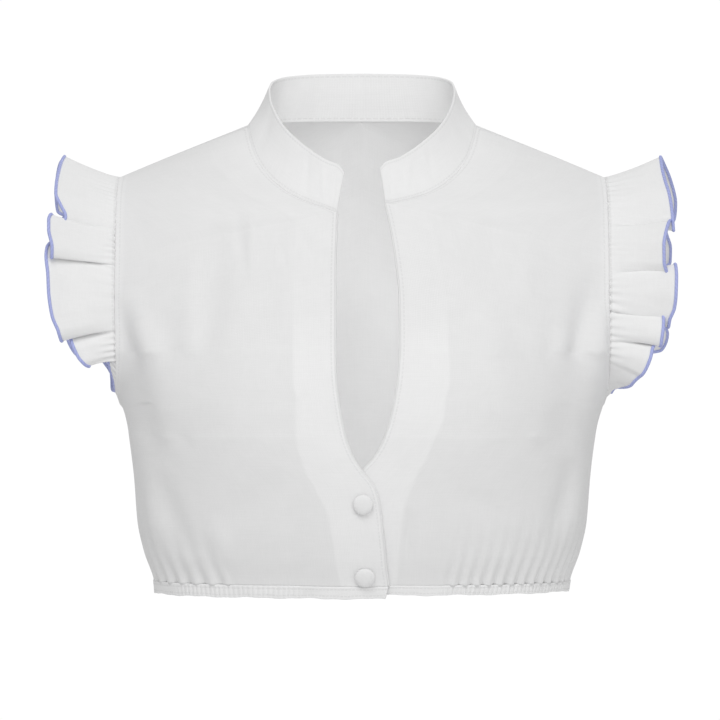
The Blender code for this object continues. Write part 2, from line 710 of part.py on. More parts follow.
def add_binding(name, fronts, backs, items, material):
    """The narrow binding inside the armhole, all the way round it."""
    edge, out, _ = armhole(fronts, backs, UNDERARM_ROW, BINDING_STEPS + 1)
    run = unit(np.roll(edge, -1, axis=0) - np.roll(edge, 1, axis=0))
    run[[0, -1]] = unit((edge[1] - edge[-2])[None])
    out[[0, -1]] = unit((out[0] + out[-1])[None])
    inward = unit(np.cross(out, run))
    away = edge - ARMHOLE_CENTRE
    inward *= np.sign((inward * away).sum(axis=1))[:, None]
    tree = panel_tree(items)
    outer = place(fronts, edge + inward * BINDING_EDGE_INSET - out * BINDING_STEP_IN)
    inner = []
    for point, normal in zip(place(fronts, edge + inward * BINDING_WIDTH), place(fronts, out)):
        found, face_normal, _, _ = tree.find_nearest(Vector(point))
        face_normal = face_normal if face_normal.dot(Vector(normal)) > 0 else -face_normal
        inner.append(found - face_normal * BINDING_STEP_IN * MM)
    inner = np.array(inner)
    inner[[0, -1]] = (inner[0] + inner[-1]) / 2
    outer[[0, -1]] = (outer[0] + outer[-1]) / 2

    def strip(u, v):
        step = np.round(u * BINDING_STEPS).astype(int)
        return outer[step] * (1 - v)[:, None] + inner[step] * v[:, None]

    sheet = grid(BINDING_STEPS, 1)
    shape(sheet, strip)
    join(sheet)
    return add_object(name, sheet, material, CLOTH, even=False)


def add_button(name, x, z, material):
    """A domed button on the lap."""
    below = FRONT_SECTIONS["row"] <= UNDERARM_ROW
    rows = np.interp([z], FRONT_SECTIONS["z"][below], FRONT_SECTIONS["row"][below])
    edge_x = read(RIGHT_EDGE, "x", np.array([z]))
    part = (-x - edge_x) / row_length(FRONT_RIGHT, rows)
    spot = panel_point(FRONT_RIGHT, part, rows)
    out = facing_out(FRONT_RIGHT, panel_point, part, rows)
    seat = place(FRONT_RIGHT, spot + out * (CLOTH / 2 + BUTTON_GAP))[0]
    axis = Vector(place(FRONT_RIGHT, out)[0]).normalized()
    profile = (
        (0.0, 0.0), (0.78, 0.0), (0.97, 0.16), (1.0, 0.36), (0.9, 0.66), (0.62, 0.9), (0.0, 1.0)
    )
    knob = bmesh.new()
    line = [knob.verts.new((r * BUTTON_RADIUS * MM, 0, h * BUTTON_HEIGHT * MM)) for r, h in profile]
    edges = [knob.edges.new(pair) for pair in zip(line, line[1:])]
    bmesh.ops.spin(
        knob, geom=line + edges, axis=(0, 0, 1), cent=(0, 0, 0), angle=math.tau, steps=BUTTON_STEPS
    )
    join(knob)
    item = add_object(name, knob, material)
    item.matrix_world = Matrix.Translation(seat) @ axis.to_track_quat("Z", "Y").to_matrix().to_4x4()
    return item


def main():
    for item in list(bpy.data.objects):
        bpy.data.objects.remove(item)

    body = new_material("White cotton voile", (226, 226, 226), 0.9)
    doubled = new_material("White cotton, doubled", (232, 232, 232), 0.9)
    frill = new_material("White cotton frill", (230, 230, 230), 0.9)
    thread = new_material("Periwinkle edging thread", (165, 173, 218), 0.7)
    covered = new_material("White covered button", (228, 228, 228), 0.8)

    back = add_back("back", body)
    front_right = add_front("front_right", FRONT_RIGHT, body)
    front_left = add_front("front_left", FRONT_LEFT, body)
    add_facing("facing_right", FRONT_RIGHT, doubled)
    add_facing("facing_left", FRONT_LEFT, doubled)
    add_collar("collar", doubled)
    add_casing("hem_back", (BACK_RIGHT, BACK_LEFT), RIGHT_CASING_FOOT, doubled)
    add_casing("hem_front_right", (FRONT_RIGHT,), RIGHT_CASING_FOOT, doubled)
    add_casing("hem_front_left", (FRONT_LEFT,), LEFT_CASING_FOOT, doubled)
    for side, fronts, backs, front in (
        ("right", FRONT_RIGHT, BACK_RIGHT, front_right),
        ("left", FRONT_LEFT, BACK_LEFT, front_left),
    ):
        add_ruffle(f"ruffle_{side}", fronts, backs, frill)
        add_ruffle_edge(f"ruffle_edge_{side}", fronts, backs, thread)
        add_binding(f"armhole_binding_{side}", fronts, backs, (front, back), doubled)
    for name, x, z in BUTTONS:
        add_button(name, x, z, covered)


main()
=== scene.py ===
"""Dirndl blouse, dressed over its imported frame.

Metres, +Z up. The front faces -Y and the wearer's right is at -X. The origin is midway between
the two points where the neck seam meets the shoulder seams. Tables are in millimetres.
"""

import math
from collections import namedtuple
import bmesh
import bpy
import numpy as np
from bpy.props import FloatProperty, FloatVectorProperty, IntProperty, PointerProperty
from mathutils import Matrix, Vector
from mathutils.bvhtree import BVHTree


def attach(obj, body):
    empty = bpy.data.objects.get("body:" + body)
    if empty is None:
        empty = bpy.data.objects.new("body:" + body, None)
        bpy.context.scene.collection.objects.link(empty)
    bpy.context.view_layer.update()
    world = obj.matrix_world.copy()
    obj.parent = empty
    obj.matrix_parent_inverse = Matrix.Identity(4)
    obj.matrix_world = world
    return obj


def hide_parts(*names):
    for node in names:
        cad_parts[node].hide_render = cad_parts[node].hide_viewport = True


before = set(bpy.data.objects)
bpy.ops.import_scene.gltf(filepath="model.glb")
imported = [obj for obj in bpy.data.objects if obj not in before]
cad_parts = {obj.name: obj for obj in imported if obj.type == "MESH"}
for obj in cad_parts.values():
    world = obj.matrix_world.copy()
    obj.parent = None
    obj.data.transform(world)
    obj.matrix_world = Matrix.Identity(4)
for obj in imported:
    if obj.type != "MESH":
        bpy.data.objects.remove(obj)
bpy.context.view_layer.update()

bl_info = {
    "name": "Dirndl blouse",
    "version": (1, 0, 0),
    "blender": (4, 5, 0),
    "location": "View3D > Sidebar > Blouse",
    "description": "Dresses the packed frame of a dirndl blouse in cotton voile",
    "category": "Object",
}

MM = 0.001

# Rows of the panels, counted up from the hem seam
UNDERARM_ROW = 12
NOTCH_ROW = 21
SHOULDER_ROW = 28
HEM_SEAM_Z = -363.0
NECK_ROWS = 4
SHOULDER_ARCH = 0.02
SECTION_START = -0.35
SECTION_POINTS = 109
FOLD_STRENGTH = 1.35
FOLD_POINTS = 25
SMOOTHING_ROUNDS = 140
SETTLE_FOOT = -0.246
SETTLE_TOP = -0.182

# Front edges
FACING_WIDTH = 35.0
FACING_LENGTH = 320.0
FACING_ROLL = 0.16
LAYER_STEP = 1.45
SEAM_GAP = 0.1
LAP_BLEND = 38.0
LAP_WIDTH = 22.0
LAP_RISE = 6.0
LAP_TOP_Z = -273.0
CASING_TOP = 0.03
RIGHT_CASING_FOOT = -0.8
LEFT_CASING_FOOT = -0.62

# Collar and hem
COLLAR_LENGTH = 470.0
COLLAR_HEIGHT = 37.0
COLLAR_WAIST = 1.6
COLLAR_FOOT = 0.4
CASING_LENGTH = 250.0
CASING_HEIGHT = 10.0
RIB_REACH = 5.0

# Bust fullness of the cut
BUST_X = 84.0
BUST_Z = -228.0
BUST_SPREAD_X = 60.0
BUST_SPREAD_Z = 62.0
BUST_FULLNESS = 8.5

# Frills and bindings of the armholes
WAVE_TURN = 20
EDGING_TURN = 1.1
EDGING_SIDES = 10
ARMHOLE_ROWS = 140
SEAM_POINTS = 400
EDGE_POINTS = 4001
FRILL_START_ROW = 12.4
FRILL_SEAM_OFFSET = -0.6
FRILL_EDGE_PULL = 0.75
FRILL_CUT = 800.0
FRILL_WIDTH = 55.0
ARMHOLE_CENTRE = (195.0, 0.0, -130.0)
BINDING_WIDTH = 8.0
BINDING_LENGTH = 470.0
BINDING_STEP_IN = 1.6

BUTTONS = (("button_upper", 0.8, -298.2), ("button_lower", 2.2, -354.6))
BUTTON_STEPS = 64
BUTTON_SEAT = 0.75
# Half the section of a button, in shares of its radius and height
BUTTON_PROFILE = (
    (0.0, 0.0), (0.55, 0.0), (0.78, 0.02), (0.93, 0.1), (0.99, 0.24), (1.0, 0.36),
    (0.97, 0.52), (0.88, 0.68), (0.72, 0.83), (0.5, 0.93), (0.26, 0.985), (0.0, 1.0),
)

# Points that lie this near are one, in metres
JOINED = 0.02 * MM


def table(columns, rows):
    """Named columns of a table, each an array with a value for each row."""
    return {name: np.array(values, float) for name, values in zip(columns.split(), zip(*rows))}


# Neck seam and top edge of the collar, from the front notch to the centre of the back.
# Station 8 is the shoulder seam.
NECK = table(
    "station base_x base_y base_z top_x top_y top_z",
    (
        (0, 19.6, -74.0, -69.5, 14.0, -67.5, -39.0),
        (1, 24.5, -73.7, -68.0, 18.8, -66.5, -33.0),
        (2, 35.3, -71.5, -64.5, 27.5, -64.0, -29.5),
        (3, 49.1, -66.5, -59.4, 38.5, -58.5, -22.7),
        (4, 63.0, -58.0, -51.2, 49.3, -50.5, -14.0),
        (5, 75.0, -46.0, -39.9, 60.5, -39.0, -3.0),
        (6, 84.3, -30.0, -25.4, 68.5, -23.0, 9.7),
        (7, 89.2, -12.0, -9.6, 73.0, -6.0, 21.7),
        (8, 91.0, 5.0, 0.0, 74.0, 10.0, 30.0),
        (9, 88.0, 22.0, 3.2, 72.4, 25.0, 36.5),
        (10, 78.5, 38.0, 5.0, 65.0, 38.5, 41.0),
        (11, 60.5, 50.0, 6.1, 51.5, 49.0, 43.7),
        (12, 32.5, 59.0, 7.1, 28.5, 56.5, 45.3),
        (13, 0.0, 62.0, 7.3, 0.0, 59.0, 45.8),
    ),
)
SHOULDER_STATION = 8.0
BACK_STATION = 13.0
TOP_LIFT_SHARE = 0.4

# Sections of the front. z and depth are at the centre line, side_* at the side seam and then
# round the armhole. power is the roundness of the section, sweep the part of it that is used.
FRONT_SECTIONS = table(
    "row z depth side_x side_y side_z power sweep bulge",
    (
        (-1, -374.8, -98.0, 164.5, 0.0, -374.8, 2.25, 90.0, 0.0),
        (0, -363.0, -101.0, 166.0, 0.0, -363.0, 2.25, 90.0, 0.0),
        (2, -339.3, -110.0, 174.0, 0.0, -339.3, 2.30, 90.0, 0.0),
        (4, -315.7, -116.0, 179.0, 0.0, -315.7, 2.35, 90.0, 0.0),
        (7, -280.2, -121.0, 181.5, 0.0, -280.2, 2.40, 90.0, 0.0),
        (10, -244.7, -123.0, 186.0, 0.0, -244.7, 2.50, 90.0, 0.0),
        (11.4, -228.1, -122.5, 189.0, 0.0, -228.1, 2.58, 90.0, 0.0),
        (12, -221.0, -122.0, 194.0, 0.0, -221.0, 2.60, 89.0, 0.0),
        (13, -204.0, -120.5, 195.5, -29.0, -211.0, 2.60, 74.0, 0.5),
        (14, -187.0, -117.5, 195.0, -43.0, -200.5, 2.60, 66.0, 1.0),
        (16, -153.0, -108.0, 195.0, -56.0, -176.0, 2.60, 55.0, 2.0),
        (18, -119.0, -95.5, 195.0, -58.0, -148.0, 2.50, 47.0, 5.0),
        (20, -85.5, -81.5, 195.0, -55.0, -120.0, 2.40, 42.0, 9.0),
        (21, -69.5, -74.0, 195.0, -52.0, -106.0, 2.30, 40.0, 10.0),
        (23, 0.0, 0.0, 195.0, -41.0, -79.0, 2.20, 36.0, 9.0),
        (25, 0.0, 0.0, 195.0, -24.0, -56.0, 2.10, 32.0, 6.0),
        (27, 0.0, 0.0, 194.5, -5.0, -43.0, 2.00, 28.0, 2.0),
        (28, 0.0, 0.0, 194.0, 5.0, -41.0, 2.00, 26.0, 0.0),
    ),
)

BACK_SECTIONS = table(
    "row z depth side_x side_y side_z power sweep bulge",
    (
        (-1, -374.8, 103.0, 164.5, 0.0, -374.8, 2.25, 90.0, 0.0),
        (0, -363.0, 105.5, 166.0, 0.0, -363.0, 2.25, 90.0, 0.0),
        (2, -339.3, 109.5, 174.0, 0.0, -339.3, 2.30, 90.0, 0.0),
        (4, -315.7, 111.0, 179.0, 0.0, -315.7, 2.35, 90.0, 0.0),
        (7, -280.2, 112.0, 181.5, 0.0, -280.2, 2.40, 90.0, 0.0),
        (10, -244.7, 112.7, 186.0, 0.0, -244.7, 2.50, 90.0, 0.0),
        (11.4, -228.1, 113.0, 189.0, 0.0, -228.1, 2.58, 90.0, 0.0),
        (12, -221.0, 113.2, 194.0, 0.0, -221.0, 2.60, 89.0, 0.0),
        (13, -196.0, 113.6, 195.5, 29.0, -211.0, 2.60, 74.0, 0.5),
        (14, -171.0, 113.8, 195.0, 43.0, -200.5, 2.60, 66.0, 1.0),
        (16, -120.0, 111.0, 195.0, 57.0, -176.0, 2.60, 56.0, 3.0),
        (18, -69.0, 99.0, 195.0, 61.0, -148.0, 2.50, 48.0, 9.0),
        (20, -18.0, 76.0, 195.0, 59.0, -120.0, 2.40, 42.0, 19.0),
        (21, 7.3, 62.0, 195.0, 56.0, -106.0, 2.30, 40.0, 23.0),
        (23, 0.0, 0.0, 195.0, 47.0, -79.0, 2.20, 36.0, 17.0),
        (25, 0.0, 0.0, 195.0, 32.0, -56.0, 2.10, 32.0, 10.0),
        (27, 0.0, 0.0, 194.5, 14.0, -43.0, 2.00, 28.0, 3.0),
        (28, 0.0, 0.0, 194.0, 5.0, -41.0, 2.00, 26.0, 0.0),
    ),
)

# Front edges: how far each one stands from the centre line, negative where it laps past it
RIGHT_EDGE = table(
    "z x",
    (
        (-375, -17.9), (-361, -20.2), (-349, -18.6), (-332, -17.1), (-317, -15.5),
        (-298, -13.2), (-286, -9.7), (-273, 0.0), (-262, 7.0), (-248, 12.4),
        (-226, 17.1), (-199, 20.4), (-174, 21.0), (-121, 21.0), (-71, 19.6),
    ),
)
LEFT_EDGE = table(
    "z x",
    (
        (-375, -16.5), (-361, -16.5), (-306, -14.5), (-291, -11.6), (-273, 0.0),
        (-262, 9.7), (-244, 18.6), (-224, 24.1), (-201, 27.9), (-174, 29.5),
        (-139, 29.3), (-109, 26.5), (-81, 21.9), (-64, 18.0),
    ),
)

# How wide the doubled band shows beside each front edge. It grows fainter above its top.
BAND_TOP_Z = -140.0
BAND_FADE = 50.0
RIGHT_BAND = table(
    "z width",
    ((-375, 36), (-330, 39), (-306, 41), (-286, 46), (-262, 40), (-199, 32), (-70, 32)),
)
LEFT_BAND = table(
    "z width",
    ((-375, 42), (-319, 46), (-290, 47), (-251, 38), (-231, 40), (-179, 37), (-70, 34)),
)

# Folds, as soft ridges (+) and troughs (-): each follows a curve from start to end that is drawn
# towards bend. The places are those in a front view, x counted outwards.
FOLDS = table(
    "side face start_x start_z bend_x bend_z end_x end_z width height",
    (
        # armpit folds of the fronts
        (-1, -1, 190.0, -140.0, 182.0, -200.0, 158.0, -272.0, 11.0, -5.0),
        (-1, -1, 180.0, -128.0, 170.0, -190.0, 142.0, -250.0, 11.0, 4.5),
        (1, -1, 181.0, -112.0, 170.0, -190.0, 152.0, -262.0, 11.0, -5.0),
        (1, -1, 190.0, -140.0, 184.0, -176.0, 178.0, -240.0, 10.0, 4.5),
        # long soft ones
        (-1, -1, 112.0, -62.0, 116.0, -150.0, 138.0, -235.0, 15.0, -3.0),
        (1, -1, 92.0, -130.0, 104.0, -190.0, 110.0, -250.0, 14.0, 2.5),
        (-1, 1, 186.0, -120.0, 172.0, -190.0, 138.0, -270.0, 13.0, -4.0),
        (1, 1, 186.0, -132.0, 168.0, -200.0, 144.0, -262.0, 13.0, -4.0),
        (-1, 1, 60.0, -120.0, 66.0, -230.0, 52.0, -330.0, 16.0, 3.0),
        (1, 1, 74.0, -140.0, 62.0, -240.0, 70.0, -336.0, 16.0, 3.0),
        # smaller ones of the right front
        (-1, -1, 172.0, -168.0, 158.0, -218.0, 128.0, -262.0, 7.0, -1.6),
        (-1, -1, 150.0, -146.0, 150.0, -196.0, 136.0, -248.0, 9.0, -1.4),
        (-1, -1, 130.0, -98.0, 138.0, -160.0, 128.0, -214.0, 8.0, 1.2),
        (-1, -1, 98.0, -60.0, 96.0, -92.0, 92.0, -122.0, 5.0, -0.8),
        (-1, -1, 88.0, -66.0, 85.0, -96.0, 87.0, -128.0, 4.0, 0.8),
        (-1, -1, 64.0, -86.0, 62.0, -104.0, 60.0, -120.0, 3.4, -0.7),
        (-1, -1, 48.0, -84.0, 44.0, -98.0, 38.0, -108.0, 3.4, -0.8),
        (-1, -1, 56.0, -100.0, 60.0, -140.0, 58.0, -176.0, 8.0, 0.8),
        (-1, -1, 60.0, -270.0, 80.0, -300.0, 120.0, -322.0, 12.0, -1.2),
        (-1, -1, 154.0, -276.0, 150.0, -312.0, 132.0, -344.0, 9.0, -1.8),
        (-1, -1, 168.0, -262.0, 168.0, -306.0, 154.0, -348.0, 7.0, 1.8),
        (-1, -1, 116.0, -306.0, 112.0, -330.0, 100.0, -350.0, 7.0, 1.0),
        # smaller ones of the left front
        (1, -1, 166.0, -154.0, 152.0, -210.0, 132.0, -252.0, 8.0, 1.4),
        (1, -1, 150.0, -136.0, 146.0, -190.0, 138.0, -240.0, 8.0, -1.4),
        (1, -1, 122.0, -206.0, 128.0, -232.0, 134.0, -258.0, 6.0, 1.3),
        (1, -1, 66.0, -82.0, 72.0, -100.0, 80.0, -118.0, 5.0, 0.9),
        (1, -1, 96.0, -64.0, 100.0, -92.0, 110.0, -120.0, 8.0, -1.0),
        (1, -1, 132.0, -84.0, 130.0, -120.0, 122.0, -160.0, 9.0, 1.0),
        (1, -1, 62.0, -276.0, 88.0, -300.0, 122.0, -312.0, 12.0, -1.2),
        (1, -1, 162.0, -262.0, 160.0, -300.0, 146.0, -334.0, 8.0, -1.8),
        (1, -1, 172.0, -250.0, 172.0, -296.0, 160.0, -342.0, 7.0, 1.8),
        (1, -1, 38.0, -300.0, 34.0, -326.0, 36.0, -352.0, 5.0, -0.9),
        # smaller ones of the back
        (-1, 1, 176.0, -150.0, 152.0, -214.0, 116.0, -250.0, 10.0, 1.8),
        (-1, 1, 30.0, -60.0, 26.0, -140.0, 34.0, -220.0, 12.0, -1.6),
        (-1, 1, 104.0, -90.0, 110.0, -190.0, 96.0, -290.0, 14.0, -2.0),
        (-1, 1, 138.0, -232.0, 136.0, -290.0, 124.0, -344.0, 9.0, 1.8),
        (-1, 1, 84.0, -270.0, 82.0, -310.0, 86.0, -350.0, 7.0, -1.4),
        (1, 1, 178.0, -158.0, 156.0, -206.0, 126.0, -238.0, 9.0, 1.6),
        (1, 1, 22.0, -72.0, 30.0, -150.0, 20.0, -236.0, 11.0, -1.3),
        (1, 1, 112.0, -82.0, 104.0, -180.0, 112.0, -280.0, 15.0, -2.2),
        (1, 1, 142.0, -240.0, 132.0, -300.0, 136.0, -346.0, 8.0, 1.6),
        (1, 1, 92.0, -262.0, 98.0, -306.0, 90.0, -350.0, 7.0, -1.5),
        (1, 1, 40.0, -250.0, 36.0, -300.0, 42.0, -350.0, 8.0, 1.2),
    ),
)

# Gathers above the hem casing: where they start and end along a row, how many, how deep
GATHERS = table(
    "side face start end count depth",
    (
        (-1, -1, 8 / 16, 15 / 16, 7, 1.5),
        (1, -1, 5 / 16, 15 / 16, 15, 1.9),
        (-1, 1, 0, 12 / 13, 18, 1.9),
        (1, 1, 0, 12 / 13, 18, 1.9),
    ),
)
GATHER_REACH = 16.0

# Fine ribs of the elastic casing: the same columns
RIBS = table(
    "side face start end count depth",
    (
        (-1, -1, 0.26, 0.78, 30, 0.30),
        (1, -1, 0.30, 0.93, 40, 0.34),
        (-1, 1, 0.0, 0.95, 62, 0.34),
        (1, 1, 0.0, 0.95, 62, 0.34),
    ),
)

# Free edges of the two frills, from the front of the underarm over the shoulder to the back.
# share is the place along the seam that the cloth comes from. x and z are read in the front
# view, in steps of 0.8 mm from its left and top edge, and depth is Y.
FRILL_EDGE_RIGHT = table(
    "share x z depth",
    (
        (0.000, 115.5, 392.0, -12.0),
        (0.030, 115.3, 389.0, -22.0),
        (0.060, 114.5, 382.0, -34.0),
        (0.085, 111.0, 370.0, -44.0),
        (0.105, 108.6, 360.5, -50.0),
        (0.112, 104.0, 352.0, -46.0),
        (0.118, 96.0, 358.0, -54.0),
        (0.124, 90.0, 365.5, -64.0),
        (0.138, 81.8, 360.0, -70.0),
        (0.150, 75.5, 349.0, -70.0),
        (0.162, 72.0, 339.0, -66.0),
        (0.168, 70.0, 328.0, -58.0),
        (0.172, 65.0, 334.0, -62.0),
        (0.178, 63.0, 341.0, -74.0),
        (0.192, 58.6, 329.0, -80.0),
        (0.208, 53.0, 315.0, -80.0),
        (0.232, 49.6, 292.0, -78.0),
        (0.252, 48.8, 274.0, -76.0),
        (0.266, 47.0, 256.0, -72.0),
        (0.275, 47.9, 248.0, -68.0),
        (0.281, 52.0, 243.0, -60.0),
        (0.286, 54.0, 250.0, -62.0),
        (0.291, 53.0, 258.0, -74.0),
        (0.305, 53.0, 247.0, -78.0),
        (0.325, 49.6, 229.0, -76.0),
        (0.338, 49.6, 220.0, -72.0),
        (0.347, 52.3, 215.0, -68.0),
        (0.353, 58.0, 219.0, -64.0),
        (0.358, 64.0, 223.0, -62.0),
        (0.363, 66.6, 217.0, -62.0),
        (0.375, 62.0, 206.0, -58.0),
        (0.390, 56.8, 194.0, -54.0),
        (0.415, 57.5, 182.0, -44.0),
        (0.440, 59.5, 172.0, -32.0),
        (0.465, 62.5, 163.0, -18.0),
        (0.490, 65.7, 157.0, -4.0),
        (0.510, 61.0, 164.0, 12.0),
        (0.535, 58.5, 176.0, 26.0),
        (0.560, 57.0, 192.0, 38.0),
        (0.580, 58.6, 211.0, 46.0),
        (0.588, 64.0, 214.0, 44.0),
        (0.596, 68.0, 206.0, 50.0),
        (0.604, 66.0, 214.0, 60.0),
        (0.625, 60.0, 228.0, 66.0),
        (0.650, 55.0, 246.0, 72.0),
        (0.672, 54.0, 264.0, 76.0),
        (0.680, 60.0, 270.0, 68.0),
        (0.686, 66.0, 262.0, 64.0),
        (0.692, 66.0, 256.0, 72.0),
        (0.705, 60.0, 264.0, 82.0),
        (0.730, 54.0, 284.0, 84.0),
        (0.758, 54.0, 306.0, 82.0),
        (0.775, 58.0, 320.0, 78.0),
        (0.783, 64.0, 318.0, 70.0),
        (0.790, 68.0, 310.0, 66.0),
        (0.797, 70.0, 318.0, 76.0),
        (0.815, 68.0, 334.0, 80.0),
        (0.838, 74.0, 350.0, 76.0),
        (0.850, 82.0, 356.0, 68.0),
        (0.858, 88.0, 348.0, 60.0),
        (0.866, 92.0, 354.0, 66.0),
        (0.885, 102.0, 358.0, 60.0),
        (0.910, 108.5, 367.0, 50.0),
        (0.940, 112.5, 377.0, 38.0),
        (0.970, 113.5, 390.0, 24.0),
        (1.000, 115.5, 392.0, 12.0),
    ),
)
FRILL_EDGE_LEFT = table(
    "share x z depth",
    (
        (0.000, 610.5, 393.0, -12.0),
        (0.030, 614.0, 388.5, -24.0),
        (0.055, 620.7, 387.5, -38.0),
        (0.080, 629.0, 385.5, -50.0),
        (0.100, 634.0, 380.5, -58.0),
        (0.112, 638.0, 376.5, -62.0),
        (0.120, 642.0, 373.0, -68.0),
        (0.138, 649.3, 358.0, -72.0),
        (0.150, 652.9, 345.5, -68.0),
        (0.157, 656.0, 344.5, -66.0),
        (0.163, 659.5, 346.5, -74.0),
        (0.175, 661.0, 338.0, -78.0),
        (0.190, 662.5, 322.0, -74.0),
        (0.201, 661.5, 309.0, -64.0),
        (0.206, 664.0, 316.0, -58.0),
        (0.211, 667.0, 327.0, -68.0),
        (0.219, 669.0, 319.0, -74.0),
        (0.229, 673.5, 308.0, -78.0),
        (0.242, 675.0, 296.0, -80.0),
        (0.260, 675.5, 276.0, -76.0),
        (0.269, 674.0, 264.5, -70.0),
        (0.274, 670.5, 268.0, -66.0),
        (0.279, 668.0, 274.5, -68.0),
        (0.285, 665.5, 271.0, -72.0),
        (0.297, 663.3, 262.0, -75.0),
        (0.325, 663.0, 245.0, -74.0),
        (0.346, 665.5, 230.0, -68.0),
        (0.356, 669.0, 221.0, -60.0),
        (0.362, 671.0, 225.0, -52.0),
        (0.368, 672.5, 231.0, -60.0),
        (0.378, 671.8, 220.0, -60.0),
        (0.395, 670.8, 209.0, -54.0),
        (0.415, 668.5, 196.0, -44.0),
        (0.440, 664.5, 183.0, -32.0),
        (0.465, 661.0, 168.0, -18.0),
        (0.490, 659.5, 157.0, -4.0),
        (0.515, 664.0, 167.0, 10.0),
        (0.540, 670.0, 183.0, 22.0),
        (0.562, 674.5, 203.0, 32.0),
        (0.580, 673.0, 219.0, 40.0),
        (0.588, 668.0, 222.0, 38.0),
        (0.596, 662.0, 216.0, 44.0),
        (0.604, 662.0, 222.0, 56.0),
        (0.625, 666.0, 236.0, 62.0),
        (0.650, 669.5, 249.0, 68.0),
        (0.668, 669.0, 262.0, 70.0),
        (0.676, 663.0, 266.0, 62.0),
        (0.682, 658.0, 260.0, 60.0),
        (0.690, 659.0, 268.0, 72.0),
        (0.712, 665.0, 280.0, 80.0),
        (0.740, 670.0, 296.0, 82.0),
        (0.765, 669.0, 312.0, 78.0),
        (0.775, 662.0, 316.0, 70.0),
        (0.783, 656.0, 310.0, 66.0),
        (0.792, 659.0, 318.0, 76.0),
        (0.815, 666.5, 334.0, 80.0),
        (0.838, 660.0, 350.0, 76.0),
        (0.850, 644.0, 352.0, 68.0),
        (0.858, 638.0, 346.0, 62.0),
        (0.868, 634.0, 354.0, 68.0),
        (0.888, 630.0, 366.0, 64.0),
        (0.912, 622.0, 377.0, 54.0),
        (0.940, 616.5, 385.0, 40.0),
        (0.970, 612.0, 390.0, 24.0),
        (1.000, 610.5, 393.0, 12.0),
    ),
)
VIEW_STEP = 0.8
VIEW_MIDDLE = 360.0

# Studio
CAMERA = (-1.6, -3600.0, -187.0)
FLOOR_Z = -0.62
LAMPS = (
    ("key", (-0.5, -2.4, 2.2), 1.6, 38.5),
    ("fill", (1.1, -2.7, 1.1), 1.8, 17.0),
    ("behind", (0.9, 2.6, 1.5), 1.6, 16.0),
)
LAMPS_AIM = (0, 0, -0.18)

Panel = namedtuple("Panel", "side face sections edge band notch_x notch_lift lap")
FRONT_RIGHT = Panel(-1, -1, FRONT_SECTIONS, RIGHT_EDGE, RIGHT_BAND, 19.6, -2.0, 1.9)
FRONT_LEFT = Panel(1, -1, FRONT_SECTIONS, LEFT_EDGE, LEFT_BAND, 18.0, 5.5, -1.0)
BACK_RIGHT = Panel(-1, 1, BACK_SECTIONS, None, None, 0.0, 0.0, 0.0)
BACK_LEFT = Panel(1, 1, BACK_SECTIONS, None, None, 0.0, 0.0, 0.0)
SIDES = (("right", FRONT_RIGHT, BACK_RIGHT), ("left", FRONT_LEFT, BACK_LEFT))


# Curves and surfaces


def along(knots, values, at):
    """A smooth curve through the values that never swings past them, read at any place."""
    steep = np.diff(values) / np.diff(knots)
    before, after = steep[:-1], steep[1:]
    level = before * after <= 0
    inside = np.where(level, 0, 2 * before * after / np.where(level, 1, before + after))
    slopes = np.concatenate([steep[:1], inside, steep[-1:]])
    at = np.clip(at, knots[0], knots[-1])
    low = np.clip(np.searchsorted(knots, at) - 1, 0, len(knots) - 2)
    span = knots[low + 1] - knots[low]
    part = (at - knots[low]) / span
    rest = 1 - part
    start = values[low] * (1 + 2 * part) * rest**2 + slopes[low] * span * part * rest**2
    end = values[low + 1] * (1 + 2 * rest) * part**2 - slopes[low + 1] * span * rest * part**2
    return start + end


def read(rows, column, at):
    """One column of a table, smoothly read by its first column."""
    knots = next(iter(rows.values()))
    return along(knots, rows[column], at)


def unit(vectors):
    return vectors / np.maximum(np.linalg.norm(vectors, axis=-1, keepdims=True), 1e-9)


def ease(x):
    """0 to 1, level at both ends."""
    x = np.clip(x, 0, 1)
    return x * x * (3 - 2 * x)


def neckline(panel, climb):
    """The neck seam: climb is 0 at the front notch or the centre of the back, 1 at the shoulder."""
    if panel.face < 0:
        station = climb * SHOULDER_STATION
        fade = (1 - climb) ** 2
        shift = (panel.notch_x - NECK["base_x"][0]) * fade
        lift = panel.notch_lift * fade
    else:
        station = BACK_STATION - climb * (BACK_STATION - SHOULDER_STATION)
        shift = lift = 0.0
    x = read(NECK, "base_x", station) + shift
    y = read(NECK, "base_y", station)
    z = read(NECK, "base_z", station) + lift
    return x, y, z


def inner_end(panel, row):
    """Where a row starts: x, x of the section's axis, depth and height."""
    climb = np.clip((row - NOTCH_ROW) / (SHOULDER_ROW - NOTCH_ROW), 0, 1)
    neck_x, neck_y, neck_z = neckline(panel, climb)
    body = np.minimum(row, NOTCH_ROW)
    below = {name: values[:-NECK_ROWS] for name, values in panel.sections.items()}
    lift = panel.notch_lift * np.clip((body - UNDERARM_ROW) / (NOTCH_ROW - UNDERARM_ROW), 0, 1) ** 2
    z = read(below, "z", body) + lift
    depth = read(below, "depth", body)
    edge_x = np.zeros_like(z) if panel.edge is None else read(panel.edge, "x", z)
    on_neck = row > NOTCH_ROW
    x = np.where(on_neck, neck_x, edge_x)
    axis_x = np.where(on_neck, neck_x - panel.notch_x * (1 - climb), 0.0)
    return x, axis_x, np.where(on_neck, neck_y, depth), np.where(on_neck, neck_z, z)


